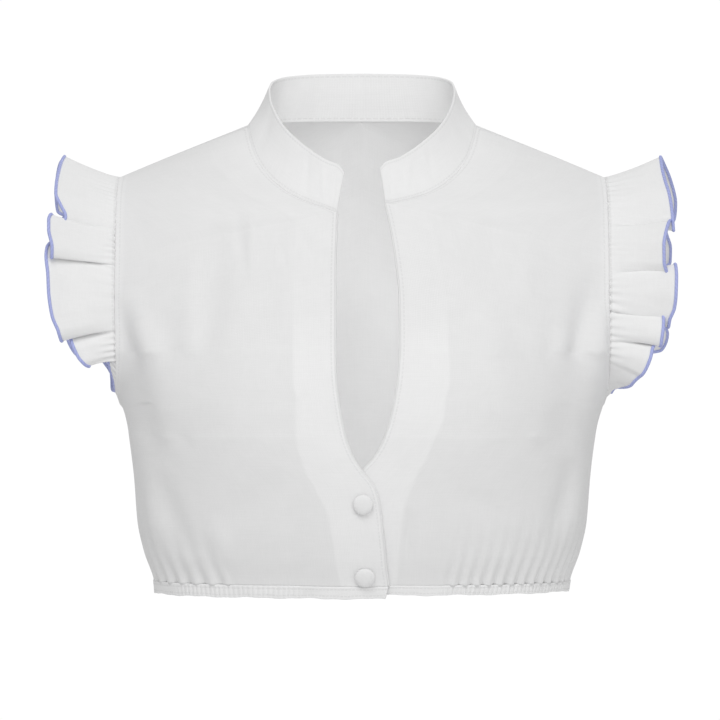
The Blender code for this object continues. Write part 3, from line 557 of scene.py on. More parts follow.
def section(panel, row):
    """The whole section line of each row: points across it and the length along it."""
    x, axis_x, depth, z = inner_end(panel, row)
    side_x, side_y, power, sweep, bulge = (
        read(panel.sections, name, row)[:, None]
        for name in ("side_x", "side_y", "power", "sweep", "bulge")
    )
    sweep = np.radians(sweep)
    angle = np.linspace(SECTION_START, 1.0, SECTION_POINTS)[None, :] * sweep

    def reach(a):
        return (np.abs(np.sin(a)) ** power + np.abs(np.cos(a)) ** power) ** (1 / power)

    across = np.sin(angle) / reach(angle) * reach(sweep) / np.sin(sweep)
    xs = axis_x[:, None] + (side_x - axis_x[:, None]) * across
    fall = (1 - np.cos(angle) / reach(angle)) / (1 - np.cos(sweep) / reach(sweep))
    ys = depth[:, None] + (side_y - depth[:, None]) * fall
    ys += panel.face * bulge * np.sin(np.pi * np.clip(across, 0, 1))
    steps = np.hypot(np.diff(xs, axis=1), np.diff(ys, axis=1))
    length = np.concatenate([np.zeros((len(row), 1)), np.cumsum(steps, axis=1)], axis=1)
    return x, z, xs, ys, length


def pick(values, length, at):
    """The values of each line at its own length."""
    high = np.clip((length < at[:, None]).sum(axis=1), 1, length.shape[1] - 1)
    each = np.arange(len(at))
    span = np.maximum(length[each, high] - length[each, high - 1], 1e-9)
    part = (at - length[each, high - 1]) / span
    return values[each, high - 1] * (1 - part) + values[each, high] * part


def plain_point(panel, part, row):
    """A point of a panel without folds: part runs from the inner edge to the side along a row."""
    x, z, xs, ys, length = section(panel, row)
    start = pick(length, xs, x)
    at = start + part * (length[:, -1] - start)
    side_z = read(panel.sections, "side_z", row)
    down = part - SHOULDER_ARCH * np.sin(np.pi * part)
    points = np.stack([pick(xs, length, at), pick(ys, length, at), z + (side_z - z) * down], axis=1)
    points[:, 1] += panel.face * SEAM_GAP / 2
    return points


def row_length(panel, row):
    """Length of each row from the inner edge to the side."""
    x, _, xs, _, length = section(panel, row)
    return length[:, -1] - pick(length, xs, x)


def facing_out(panel, surface, part, row):
    """Unit normals of a surface of the panel, pointing away from the wearer."""
    step_part = 0.004
    step_row = 0.04
    low, high = np.clip(part - step_part, 0, 1), np.clip(part + step_part, 0, 1)
    under, over = np.maximum(row - step_row, -1), np.minimum(row + step_row, SHOULDER_ROW)
    across = surface(panel, high, row) - surface(panel, low, row)
    up = surface(panel, part, over) - surface(panel, part, under)
    return unit(np.cross(across, up)) * -panel.face


def fold_line(start, bend, end, at):
    """Points of a fold's curve."""
    at = at[:, None]
    return start * (1 - at) ** 2 + 2 * bend * at * (1 - at) + end * at**2


def fold_relief(panel, points):
    """Height of the folds at each point."""
    height = np.zeros(len(points))
    for fold in zip(*FOLDS.values()):
        side, face, *places, width, top = fold
        if (side, face) != (panel.side, panel.face):
            continue
        start, bend, end = np.array(places).reshape(3, 2)
        at = np.linspace(0, 1, FOLD_POINTS)
        line = fold_line(start, bend, end, at)
        away = np.linalg.norm(points[:, None, [0, 2]] - line[None], axis=2)
        nearest = at[away.argmin(axis=1)]
        # from the nearest of those points to the nearest one on the curve itself
        gap = points[:, [0, 2]] - fold_line(start, bend, end, nearest)
        run = 2 * (bend - start) + 2 * nearest[:, None] * (end - 2 * bend + start)
        slip = (gap * run).sum(axis=1) / (run * run).sum(axis=1)
        nearest = np.clip(nearest + slip, 0, 1)
        away = np.linalg.norm(points[:, [0, 2]] - fold_line(start, bend, end, nearest), axis=1)
        strength = np.sin(np.pi * nearest) ** 1.1
        height += FOLD_STRENGTH * top * strength * np.exp(-((away / width) ** 2))
    return height


def ripple(rows, panel, part, sharp):
    """Even ridges along a row, from a table of where they are and how deep."""
    height = np.zeros(len(part))
    for side, face, start, end, count, depth in zip(*rows.values()):
        if (side, face) != (panel.side, panel.face):
            continue
        place = np.clip((part - start) / (end - start), 0, 1)
        swell = ease(np.minimum(place, 1 - place) * sharp) if face < 0 else ease((1 - place) * sharp)
        height += depth * swell * -np.cos(2 * np.pi * count * place)
    return height


def gather_relief(panel, part, points):
    """Height of the gathers above the hem casing."""
    over = points[:, 2] - HEM_SEAM_Z
    fade = np.where(over < -0.01, 0, np.exp(-np.clip(over, 0, None) / GATHER_REACH))
    small = np.where(over < -0.01, 0, np.exp(-np.clip(over, 0, None) / RIB_REACH))
    return ripple(GATHERS, panel, part, 8) * fade + ripple(RIBS, panel, part, 8) * small


def lap_relief(panel, points):
    """How far a front edge is moved out or in where the two fronts lap."""
    if panel.face > 0:
        return np.zeros(len(points))
    across = 1 - ease((points[:, 0] - LAP_WIDTH) / LAP_BLEND)
    down = 1 - ease((points[:, 2] - LAP_TOP_Z - LAP_RISE) / LAP_BLEND)
    return panel.lap * across * down


def bust_relief(panel, points):
    """Fullness that the cut gives the fronts."""
    if panel.face > 0:
        return np.zeros(len(points))
    across = (points[:, 0] - BUST_X) / BUST_SPREAD_X
    up = (points[:, 2] - BUST_Z) / BUST_SPREAD_Z
    return BUST_FULLNESS * np.exp(-(across**2) - up**2)


def panel_point(panel, part, row):
    """A point of the finished panel."""
    points = plain_point(panel, part, row)
    out = facing_out(panel, plain_point, part, row)
    height = bust_relief(panel, points) + fold_relief(panel, points)
    height = height * ease((1 - part) * 12 + 0.25)
    height += gather_relief(panel, part, points) + lap_relief(panel, points)
    return points + out * height[:, None]


def place(panel, points):
    """Points in metres, on the panel's own side of the wearer."""
    return points * (panel.side * MM, MM, MM)


def warp_run(panel, row):
    """Length of cloth from the hem up to a row, for patterns that follow the warp."""
    rows = np.linspace(-1, SHOULDER_ROW, 160)
    middle = plain_point(panel, np.full_like(rows, 0.5), rows)
    run = np.concatenate([[0], np.cumsum(np.linalg.norm(np.diff(middle, axis=0), axis=1))])
    return np.interp(row, rows, run)


# Sheets


def grid(columns, rows):
    """A flat grid whose x and y run from 0 to 1."""
    sheet = bmesh.new()
    bmesh.ops.create_grid(sheet, x_segments=columns, y_segments=rows, size=0.5)
    bmesh.ops.translate(sheet, verts=sheet.verts, vec=(0.5, 0.5, 0))
    return sheet


def dress(sheet, place_of, cloth_of, doubled_of=None, seam_of=None):
    """Moves the points of a flat grid into place and writes what the cloth pattern reads.

    cloth_of gives millimetres along weft and warp, doubled_of how far a second layer shows
    through, and seam_of the distance from a stitched edge and the run along it.
    """
    flat = np.array([vert.co[:2] for vert in sheet.verts])
    u, v = flat[:, 0], flat[:, 1]
    cloth = np.stack(cloth_of(u, v), axis=1) * MM
    seam = np.full((len(flat), 2), 999.0) if seam_of is None else np.stack(seam_of(u, v), axis=1)
    doubled = np.zeros(len(flat)) if doubled_of is None else doubled_of(u, v)
    cloth_map = sheet.loops.layers.uv.new("Cloth")
    seam_map = sheet.loops.layers.uv.new("Seam")
    layer = sheet.verts.layers.float.new("doubled")
    sheet.verts.index_update()
    for face in sheet.faces:
        for loop in face.loops:
            loop[cloth_map].uv = cloth[loop.vert.index]
            loop[seam_map].uv = seam[loop.vert.index] * MM
    for vert, point, share in zip(sheet.verts, place_of(u, v), doubled):
        vert.co = point
        vert[layer] = share


def settle(sheet):
    """Evens out the turn that the rows take where the armholes start, away from all edges."""
    near = [
        vert for vert in sheet.verts
        if SETTLE_FOOT < vert.co.z < SETTLE_TOP and not vert.is_boundary
    ]
    for _ in range(SMOOTHING_ROUNDS):
        bmesh.ops.smooth_vert(sheet, verts=near, factor=0.5, use_axis_x=True, use_axis_y=True)
    return sheet


def merge(sheets):
    """One bmesh from several, their shared points merged."""
    whole = bmesh.new()
    for sheet in sheets:
        mesh = bpy.data.meshes.new("part")
        sheet.to_mesh(mesh)
        sheet.free()
        whole.from_mesh(mesh)
        bpy.data.meshes.remove(mesh)
    bmesh.ops.remove_doubles(whole, verts=whole.verts, dist=JOINED)
    return whole


def finish_piece(name, sheet, material, node, wall=None, even=True, soften=0.0):
    """An object from a bmesh in metres, with its wall built on both sides, riding on the frame."""
    bmesh.ops.recalc_face_normals(sheet, faces=sheet.faces)
    mesh = bpy.data.meshes.new(name)
    sheet.to_mesh(mesh)
    sheet.free()
    mesh.materials.append(material)
    mesh.shade_smooth()
    piece = bpy.data.objects.new(name, mesh)
    bpy.context.scene.collection.objects.link(piece)
    if wall:
        solid = piece.modifiers.new("Wall", "SOLIDIFY")
        solid.thickness = wall
        solid.offset = 0
        solid.use_even_offset = even
        solid.use_quality_normals = True
    if soften:
        rounded = piece.modifiers.new("Soft edge", "BEVEL")
        rounded.width = soften
        rounded.segments = 3
        rounded.limit_method = "ANGLE"
        rounded.angle_limit = math.radians(60)
    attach(piece, "root")
    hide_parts(node)
    return piece


# Materials


def linear(code):
    """Linear colour of an sRGB hex code."""
    parts = [int(code[k : k + 2], 16) / 255 for k in (0, 2, 4)]
    return tuple(c / 12.92 if c <= 0.04045 else ((c + 0.055) / 1.055) ** 2.4 for c in parts)


def add_node(tree, kind, settings=None, links=None):
    """Adds a node to a tree, sets its properties and inputs, and links inputs to outputs."""
    node = tree.nodes.new(kind)
    for key, value in (settings or {}).items():
        if isinstance(key, str) and hasattr(node, key):
            setattr(node, key, value)
        else:
            node.inputs[key].default_value = value
    for key, output in (links or {}).items():
        tree.links.new(output, node.inputs[key])
    return node


def new_material(name, sockets):
    """A material, its node tree and its shader with constants on some sockets."""
    material = bpy.data.materials.new(name)
    material.use_nodes = True
    tree = material.node_tree
    shader = tree.nodes["Principled BSDF"]
    for socket, value in sockets.items():
        shader.inputs[socket].default_value = value
    return material, tree, shader


def cotton(name, single, doubled, weave_depth, stitch_at, sheen=0.12):
    """Woven cotton: fine threads, slubs, a lighter tone where two layers lie together, stitches.

    Real voile has 0.3 mm between its threads, too fine to show in the render, so they are drawn
    coarser. stitch_at is how far from a finished edge the row of stitches runs; the stitches carry
    painted shade where they sink into the cloth.
    """
    sizes = bpy.context.scene.blouse_sizes
    constants = {"Roughness": 0.88, "Metallic": 0.0, "IOR": 1.5, "Specular IOR Level": 0.25}
    material, tree, shader = new_material(
        name, {**constants, "Sheen Weight": sheen, "Sheen Roughness": 0.5}
    )
    cloth = add_node(tree, "ShaderNodeUVMap", {"uv_map": "Cloth"}).outputs["UV"]
    thread = {
        "Scale": math.tau / (WAVE_TURN * sizes.thread_spacing),
        "Distortion": 0.6,
        "Detail": 1.0,
        "Detail Scale": 0.4,
    }
    weft, warp = (
        add_node(tree, "ShaderNodeTexWave", {**thread, "bands_direction": way}, {"Vector": cloth})
        for way in ("X", "Y")
    )
    crossed = {0: weft.outputs["Fac"], 1: warp.outputs["Fac"]}
    weave = add_node(tree, "ShaderNodeMath", {"operation": "MULTIPLY"}, crossed)

    # slubs: threads that are a little thicker for some millimetres, along weft and warp
    slubs = {}
    for place_in, stretch in enumerate(((60.0, 700.0, 1.0), (700.0, 60.0, 1.0))):
        drawn_out = add_node(tree, "ShaderNodeMapping", {"Scale": stretch}, {"Vector": cloth})
        grain = {"Scale": 1.0, "Detail": 2.0, "Roughness": 0.6}
        noise = add_node(tree, "ShaderNodeTexNoise", grain, {"Vector": drawn_out.outputs[0]})
        slubs[place_in] = noise.outputs["Fac"]
    slub = add_node(tree, "ShaderNodeMath", {"operation": "ADD"}, slubs)
    cloud = {"Scale": 55.0, "Detail": 3.0, "Roughness": 0.55}
    cloudy = add_node(tree, "ShaderNodeTexNoise", cloud, {"Vector": cloth})

    # one layer or two
    layers = add_node(tree, "ShaderNodeAttribute", {"attribute_name": "doubled"})
    tone = add_node(tree, "ShaderNodeMix", {"data_type": "RGBA"}, {0: layers.outputs["Fac"]})
    tone.inputs[6].default_value = (*single, 1)
    tone.inputs[7].default_value = (*doubled, 1)
    shade = add_node(
        tree,
        "ShaderNodeMapRange",
        {"From Min": 0.7, "From Max": 1.3, "To Min": 0.985, "To Max": 1.01},
        {"Value": slub.outputs[0]},
    )
    patchy = add_node(
        tree,
        "ShaderNodeMapRange",
        {"From Min": 0.3, "From Max": 0.7, "To Min": 0.99, "To Max": 1.008},
        {"Value": cloudy.outputs["Fac"]},
    )
    uneven = {0: shade.outputs["Result"], 1: patchy.outputs["Result"]}
    even = add_node(tree, "ShaderNodeMath", {"operation": "MULTIPLY"}, uneven)

    # the row of stitches beside a finished edge, sunk into the cloth, with painted shade in that
    # groove
    seam = add_node(tree, "ShaderNodeUVMap", {"uv_map": "Seam"})
    parts = add_node(tree, "ShaderNodeSeparateXYZ", links={"Vector": seam.outputs["UV"]})
    from_edge = {"operation": "SUBTRACT", 1: stitch_at * MM}
    off = add_node(tree, "ShaderNodeMath", from_edge, {0: parts.outputs["X"]})
    far = add_node(tree, "ShaderNodeMath", {"operation": "ABSOLUTE"}, {0: off.outputs[0]})
    line = add_node(
        tree,
        "ShaderNodeMapRange",
        {"From Min": 0.35 * MM, "From Max": 0.75 * MM, "To Min": 1.0, "To Max": 0.0},
        {"Value": far.outputs[0]},
    )
    per_stitch = {"operation": "DIVIDE", 1: sizes.stitch_length}
    beat = add_node(tree, "ShaderNodeMath", per_stitch, {0: parts.outputs["Y"]})
    turn = add_node(tree, "ShaderNodeMath", {"operation": "FRACT"}, {0: beat.outputs[0]})
    thread_share = {"operation": "LESS_THAN", 1: 0.72}
    dash = add_node(tree, "ShaderNodeMath", thread_share, {0: turn.outputs[0]})
    dashed = {0: line.outputs["Result"], 1: dash.outputs[0]}
    stitch = add_node(tree, "ShaderNodeMath", {"operation": "MULTIPLY"}, dashed)
    # painted shade: the colour is 6% darker on the stitches, where they sink into the cloth
    stitch_shade = add_node(
        tree, "ShaderNodeMapRange", {"To Min": 1.0, "To Max": 0.94}, {"Value": stitch.outputs[0]}
    )
    dipped = {0: even.outputs[0], 1: stitch_shade.outputs["Result"]}
    lit = add_node(tree, "ShaderNodeMath", {"operation": "MULTIPLY"}, dipped)
    toned = {"Vector": tone.outputs[2], "Scale": lit.outputs[0]}
    colour = add_node(tree, "ShaderNodeVectorMath", {"operation": "SCALE"}, toned)
    tree.links.new(colour.outputs[0], shader.inputs["Base Color"])

    # height of threads, slubs and stitches
    half = {"operation": "MULTIPLY_ADD", 1: 0.5}
    raised = add_node(tree, "ShaderNodeMath", half, {0: slub.outputs[0], 2: weave.outputs[0]})
    down = {"operation": "MULTIPLY_ADD", 1: -2.5}
    sunk = add_node(tree, "ShaderNodeMath", down, {0: stitch.outputs[0], 2: raised.outputs[0]})
    depth = {"Strength": 0.6, "Distance": weave_depth * MM}
    bump = add_node(tree, "ShaderNodeBump", depth, {"Height": sunk.outputs[0]})
    tree.links.new(bump.outputs["Normal"], shader.inputs["Normal"])
    return material


def edging_thread(name, colour):
    """Overlocked edge: glossy polyester thread wound across the rolled hem, 0.4 mm a turn.

    The turns are drawn coarser, so that they show, and their colour carries painted shade in the
    grooves between them and a painted highlight on their tops.
    """
    material, tree, shader = new_material(
        name, {"Roughness": 0.55, "Metallic": 0.0, "Sheen Weight": 0.1}
    )
    cloth = add_node(tree, "ShaderNodeUVMap", {"uv_map": "Cloth"})
    turns = {
        "bands_direction": "DIAGONAL",
        "Scale": 0.6 * math.tau / (WAVE_TURN * EDGING_TURN * MM),
        "Distortion": 1.2,
        "Detail": 1.0,
    }
    wound = add_node(tree, "ShaderNodeTexWave", turns, {"Vector": cloth.outputs["UV"]})
    height = wound.outputs["Fac"]
    # painted shade and highlight: the colour is 7% darker in the grooves between the turns and 3%
    # lighter on their tops
    tone = add_node(tree, "ShaderNodeMapRange", {"To Min": 0.93, "To Max": 1.03}, {"Value": height})
    flat = {"operation": "SCALE", "Vector": colour}
    shaded = add_node(tree, "ShaderNodeVectorMath", flat, {"Scale": tone.outputs["Result"]})
    tree.links.new(shaded.outputs[0], shader.inputs["Base Color"])
    depth = {"Strength": 0.5, "Distance": 0.15 * MM}
    bump = add_node(tree, "ShaderNodeBump", depth, {"Height": height})
    tree.links.new(bump.outputs["Normal"], shader.inputs["Normal"])
    return material


def paper(name, colour):
    """Pale matt studio paper."""
    material, tree, shader = new_material(name, {"Roughness": 0.95})
    where = add_node(tree, "ShaderNodeTexCoord").outputs["Object"]
    grain = add_node(tree, "ShaderNodeTexNoise", {"Scale": 30.0, "Detail": 4.0}, {"Vector": where})
    fine = {"Value": grain.outputs["Fac"]}
    tone = add_node(tree, "ShaderNodeMapRange", {"To Min": 0.985, "To Max": 1.0}, fine)
    flat = {"operation": "SCALE", "Vector": colour}
    shaded = add_node(tree, "ShaderNodeVectorMath", flat, {"Scale": tone.outputs["Result"]})
    tree.links.new(shaded.outputs[0], shader.inputs["Base Color"])
    return material


def finish(name):
    """The named finish, made once."""
    found = bpy.data.materials.get(name)
    if found:
        return found
    colours = bpy.context.scene.blouse_colours
    voile, doubled, frill, button, edging = (
        tuple(colour)
        for colour in (
            colours.voile, colours.doubled, colours.frill, colours.button, colours.edging
        )
    )
    makers = {
        "White cotton voile": lambda: cotton(name, voile, doubled, 0.05, 4.5),
        "White cotton voile, doubled": lambda: cotton(name, doubled, doubled, 0.06, 2.4),
        "White cotton voile frill": lambda: cotton(name, frill, doubled, 0.05, 3.0),
        # its stitches would lie off the button
        "Covered button cotton": lambda: cotton(name, button, doubled, 0.09, 500.0, sheen=0.2),
        "Periwinkle edging thread": lambda: edging_thread(name, edging),
    }
    return makers[name]()


# Cloth panels


def seam_distance(panel, part, row):
    """Distance from the nearest stitched edge of a panel and the run along it."""
    wide = row_length(panel, row)
    run = warp_run(panel, row)
    edges = []
    if panel.face < 0:
        # the opening's stitches run nearer to its edge than those of the armhole
        edges.append((part * wide + 1.5, run))
    armhole_side = np.where(row >= UNDERARM_ROW, (1 - part) * wide, 999.0)
    edges.append((armhole_side, run))
    edges.append((shoulder_distance(panel, part, row), part * wide))
    distance = np.stack([edge[0] for edge in edges])
    nearest = distance.argmin(axis=0)
    each = np.arange(len(part))
    return distance[nearest, each], np.stack([edge[1] for edge in edges])[nearest, each]


def shoulder_distance(panel, part, row):
    """Distance from the shoulder seam, near it."""
    low = np.minimum(row, SHOULDER_ROW - 0.1)
    step = plain_point(panel, part, low + 0.1) - plain_point(panel, part, low)
    return (SHOULDER_ROW - row) * np.linalg.norm(step, axis=1) * 10


def doubled_share(panel, part, row):
    """Where a second layer of cloth shows through a panel."""
    wide = row_length(panel, row)
    points = plain_point(panel, part, row)
    share = np.zeros(len(part))
    if panel.band is not None:
        band = read(panel.band, "width", points[:, 2])
        shows = 0.25 + 0.75 * ease((BAND_TOP_Z - points[:, 2]) / BAND_FADE)
        share = np.maximum(share, shows * (1 - ease((part * wide - band + 1.0) / 2.4)))
    allowance = (1 - part) * wide
    share = np.maximum(share, 0.75 * (1 - ease((allowance - 4.2) / 1.8)) * (row >= UNDERARM_ROW))
    share = np.maximum(share, 0.45 * (1 - ease((allowance - 7.0) / 2.0)))
    return np.maximum(share, 0.35 * (1 - ease((shoulder_distance(panel, part, row) - 7.0) / 2.0)))


def panel_sheet(panel, columns, rows):
    """A panel as a bmesh in place, from the hem seam up to the neck and shoulder seams."""
    sheet = grid(columns, rows)
    dress(
        sheet,
        lambda u, v: place(panel, panel_point(panel, u, v * SHOULDER_ROW)),
        lambda u, v: (
            u * row_length(panel, v * SHOULDER_ROW) * panel.side,
            warp_run(panel, v * SHOULDER_ROW),
        ),
        lambda u, v: doubled_share(panel, u, v * SHOULDER_ROW),
        lambda u, v: seam_distance(panel, u, v * SHOULDER_ROW),
    )
    return sheet


def detail(count):
    return count


def length(name, description, millimetres):
    """A size that a maker would change."""
    return FloatProperty(
        name=name, description=description, default=millimetres * MM, unit="LENGTH"
    )


def tint(name, description, code):
    """A colour from its sRGB hex code."""
    return FloatVectorProperty(
        name=name, description=description, subtype="COLOR", default=linear(code)
    )


class BlouseSizes(bpy.types.PropertyGroup):
    """Sizes of the visible pieces and of what is drawn on them."""

    cloth: length("Cloth", "Thickness of one layer of cloth as drawn", 0.6)
    collar: length("Collar", "Thickness of the doubled collar", 1.7)
    casing: length("Casing", "Thickness of the hem casing with its elastic", 2.0)
    edging: length("Edging", "Radius of the rolled edge of the frills", 1.3)
    button: length("Button", "Radius of a covered button", 7.8)
    button_height: length("Button height", "Height of a covered button", 4.6)
    thread_spacing: length("Thread spacing", "Distance between the threads as drawn", 1.3)
    stitch_length: length("Stitch length", "Length of a stitch and the gap after it", 3.0)
    frill_gathers: IntProperty(
        name="Frill gathers",
        description="Small gathers along one armhole seam",
        default=78,
        min=20,
        max=120,
    )


class BlouseColours(bpy.types.PropertyGroup):
    """Colours of the cloths, threads and floor."""

    voile: tint("Voile", "One layer of cotton", "e6e6e6")
    doubled: tint("Doubled", "Two layers of cotton", "ececec")
    frill: tint("Frill", "Cotton of the frills", "ebebeb")
    edging: tint("Edging", "Periwinkle thread", "a8b0e2")
    button: tint("Button", "Cloth of the buttons", "e9e9e9")
    floor: tint("Floor", "Studio paper", "f4f4f4")


class BLOUSE_OT_back(bpy.types.Operator):
    """Make the back, two halves that are one cloth along the centre line"""

    bl_idname = "blouse.back"
    bl_label = "Back"

    def execute(self, context):
        sizes = context.scene.blouse_sizes
        halves = [panel_sheet(panel, detail(112), detail(172)) for panel in (BACK_RIGHT, BACK_LEFT)]
        piece = finish_piece(
            "blouse_back",
            settle(merge(halves)),
            finish("White cotton voile"),
            "back",
            sizes.cloth,
        )
        return {"FINISHED"}


class BLOUSE_OT_fronts(bpy.types.Operator):
    """Make the two fronts"""

    bl_idname = "blouse.fronts"
    bl_label = "Fronts"

    def execute(self, context):
        sizes = context.scene.blouse_sizes
        for side, panel, _ in SIDES:
            piece = finish_piece(
                f"blouse_front_{side}",
                settle(panel_sheet(panel, detail(132), detail(200))),
                finish("White cotton voile"),
                f"front_{side}",
                sizes.cloth,
            )
        return {"FINISHED"}


class BLOUSE_OT_facings(bpy.types.Operator):
    """Make the strips that turn round the front edges and run behind them"""

    bl_idname = "blouse.facings"
    bl_label = "Facings"

    def execute(self, context):
        sizes = context.scene.blouse_sizes
        for side, panel, _ in SIDES:
            sheet = grid(detail(24), detail(170))
            dress(
                sheet,
                lambda u, v: place(panel, facing_point(panel, u, v)),
                lambda u, v: (u * FACING_WIDTH, v * FACING_LENGTH),
                None,
                lambda u, v: (u * FACING_WIDTH, v * FACING_LENGTH),
            )
            piece = finish_piece(
                f"blouse_facing_{side}",
                sheet,
                finish("White cotton voile, doubled"),
                f"facing_{side}",
                sizes.cloth,
            )
        return {"FINISHED"}


def facing_point(panel, u, v):
    """The facing: round the front edge in a small roll, then inwards behind the front."""
    row = 0.05 + v * (NOTCH_ROW - 0.1)
    turn = np.clip(u / FACING_ROLL, 0, 1) * np.pi
    inward = np.clip((u - FACING_ROLL) / (1 - FACING_ROLL), 0, 1)
    part = 0.0005 + inward * FACING_WIDTH / row_length(panel, row)
    out = facing_out(panel, panel_point, part, row)
    spot = panel_point(panel, part, row)
    beside = panel_point(panel, part + 0.01, row)
    sideways = unit(spot - beside)
    radius = LAYER_STEP / 2
    middle = spot - out * radius
    round_edge = out * np.cos(turn)[:, None] + sideways * np.sin(turn)[:, None]
    return middle + round_edge * radius


class BLOUSE_OT_collar(bpy.types.Operator):
    """Make the stand collar"""

    bl_idname = "blouse.collar"
    bl_label = "Collar"

    def execute(self, context):
        sizes = context.scene.blouse_sizes
        sheet = grid(detail(300), detail(24))
        dress(
            sheet,
            collar_point,
            lambda u, v: (u * COLLAR_LENGTH, v * COLLAR_HEIGHT),
            None,
            lambda u, v: (
                np.minimum(
                    np.minimum(v, 1 - v) * COLLAR_HEIGHT, np.minimum(u, 1 - u) * COLLAR_LENGTH
                ),
                u * COLLAR_LENGTH,
            ),
        )
        piece = finish_piece(
            "blouse_collar",
            sheet,
            finish("White cotton voile, doubled"),
            "collar",
            sizes.collar,
            soften=0.55 * MM,
        )
        return {"FINISHED"}


# Soft creases of the collar: where along it, how they lean, how deep
COLLAR_CREASES = table(
    "at lean width height",
    (
        (0.035, 9.0, 3.0, -0.30),
        (0.075, 16.0, 4.0, 0.45),
        (0.115, 12.0, 3.5, -0.45),
        (0.160, -8.0, 5.0, 0.35),
        (0.235, 6.0, 6.0, -0.40),
        (0.330, -9.0, 6.0, 0.35),
        (0.440, 5.0, 7.0, -0.30),
        (0.560, 8.0, 6.0, 0.35),
        (0.665, -7.0, 7.0, -0.35),
        (0.770, 9.0, 5.0, 0.35),
        (0.850, -12.0, 4.0, -0.35),
        (0.905, -16.0, 3.5, 0.40),
        (0.955, -10.0, 3.0, -0.35),
    ),
)


def collar_point(u, v):
    """The stand collar: u runs from its right end round the back to its left end, v up."""
    station = (0.5 - np.abs(u - 0.5)) * 2 * BACK_STATION
    side = np.where(u < 0.5, -1.0, 1.0)
    base = np.stack([read(NECK, f"base_{axis}", station) for axis in "xyz"], axis=1)
    top = np.stack([read(NECK, f"top_{axis}", station) for axis in "xyz"], axis=1)
    fade = (1 - np.clip(station / SHOULDER_STATION, 0, 1)) ** 2
    for panel in (FRONT_RIGHT, FRONT_LEFT):
        near = np.where(side == panel.side, fade, 0)
        base[:, 0] += (panel.notch_x - NECK["base_x"][0]) * near
        base[:, 2] += panel.notch_lift * near
        top[:, 2] += panel.notch_lift * TOP_LIFT_SHARE * near
    rise = unit(top - base)
    foot = base - rise * COLLAR_FOOT
    points = foot + (top - foot) * v[:, None]
    waist = COLLAR_WAIST * np.sin(np.pi * v) * np.clip(station / 3, 0, 1)
    hollow = unit(np.stack([points[:, 0], points[:, 1], np.zeros_like(u)], axis=1))
    crease = np.zeros_like(u)
    for at, lean, width, height in zip(*COLLAR_CREASES.values()):
        away = (u - at) * COLLAR_LENGTH - lean * (v - 0.5)
        crease += height * np.sin(np.pi * np.clip(v, 0, 1)) ** 0.7 * np.exp(-((away / width) ** 2))
    points -= hollow * (waist - crease)[:, None]
    return points * np.stack([side * MM, np.full_like(u, MM), np.full_like(u, MM)], axis=1)


class BLOUSE_OT_hem(bpy.types.Operator):
    """Make the elastic casings along the hem"""

    bl_idname = "blouse.hem"
    bl_label = "Hem casings"

    def execute(self, context):
        sizes = context.scene.blouse_sizes
        for name, panels, foot in (
            ("hem_back", (BACK_RIGHT, BACK_LEFT), RIGHT_CASING_FOOT),
            ("hem_front_right", (FRONT_RIGHT,), RIGHT_CASING_FOOT),
            ("hem_front_left", (FRONT_LEFT,), LEFT_CASING_FOOT),
        ):
            bands = []
            for panel in panels:
                band = grid(detail(360), 8)
                dress(
                    band,
                    lambda u, v: place(panel, casing_point(panel, foot, u, v)),
                    lambda u, v: (u * CASING_LENGTH * panel.side, v * CASING_HEIGHT),
                    None,
                    lambda u, v: (np.minimum(v, 1 - v) * CASING_HEIGHT, u * CASING_LENGTH),
                )
                bands.append(band)
            piece = finish_piece(
                f"blouse_{name}",
                merge(bands),
                finish("White cotton voile, doubled"),
                name,
                sizes.casing,
                soften=0.6 * MM,
            )
        return {"FINISHED"}


def casing_point(panel, foot, u, v):
    """The casing: a flat tube of cloth whose elastic draws it into fine ribs."""
    row = foot + v * (CASING_TOP - foot)
    points = plain_point(panel, u, row)
    out = facing_out(panel, plain_point, u, row)
    ribs = ripple(RIBS, panel, u, 8) * (0.5 + 0.5 * np.sin(np.pi * np.clip(v, 0, 1)))
    wander = 0.35 * np.sin(23 * u + panel.side) + 0.25 * np.sin(57 * u + 2.0)
    height = lap_relief(panel, points) + ribs + wander * (1 - v)
    points = points + out * height[:, None]
    points[:, 2] += (0.35 * np.sin(31 * u + 1.0 + panel.side) + 0.2 * np.sin(83 * u)) * (1 - v)
    return points


# Frills


def armhole(fronts, backs, start_row, count):
    """Points round the armhole edge, evenly spaced, and the panels' outward normals there."""
    rows = np.linspace(start_row, SHOULDER_ROW, ARMHOLE_ROWS)
    ends = np.ones_like(rows)
    points = [panel_point(panel, ends, rows) for panel in (fronts, backs)]
    out = [facing_out(panel, panel_point, ends, rows) for panel in (fronts, backs)]
    line = np.concatenate([points[0], points[1][::-1]])
    normals = np.concatenate([out[0], out[1][::-1]])
    length = np.concatenate([[0], np.cumsum(np.linalg.norm(np.diff(line, axis=0), axis=1))])
    even = np.linspace(0, length[-1], count)
    line = np.stack([np.interp(even, length, line[:, k]) for k in range(3)], axis=1)
    normals = unit(np.stack([np.interp(even, length, normals[:, k]) for k in range(3)], axis=1))
    return line, normals, length[-1]


Frill = namedtuple("Frill", "panel seam length edge share gathers")


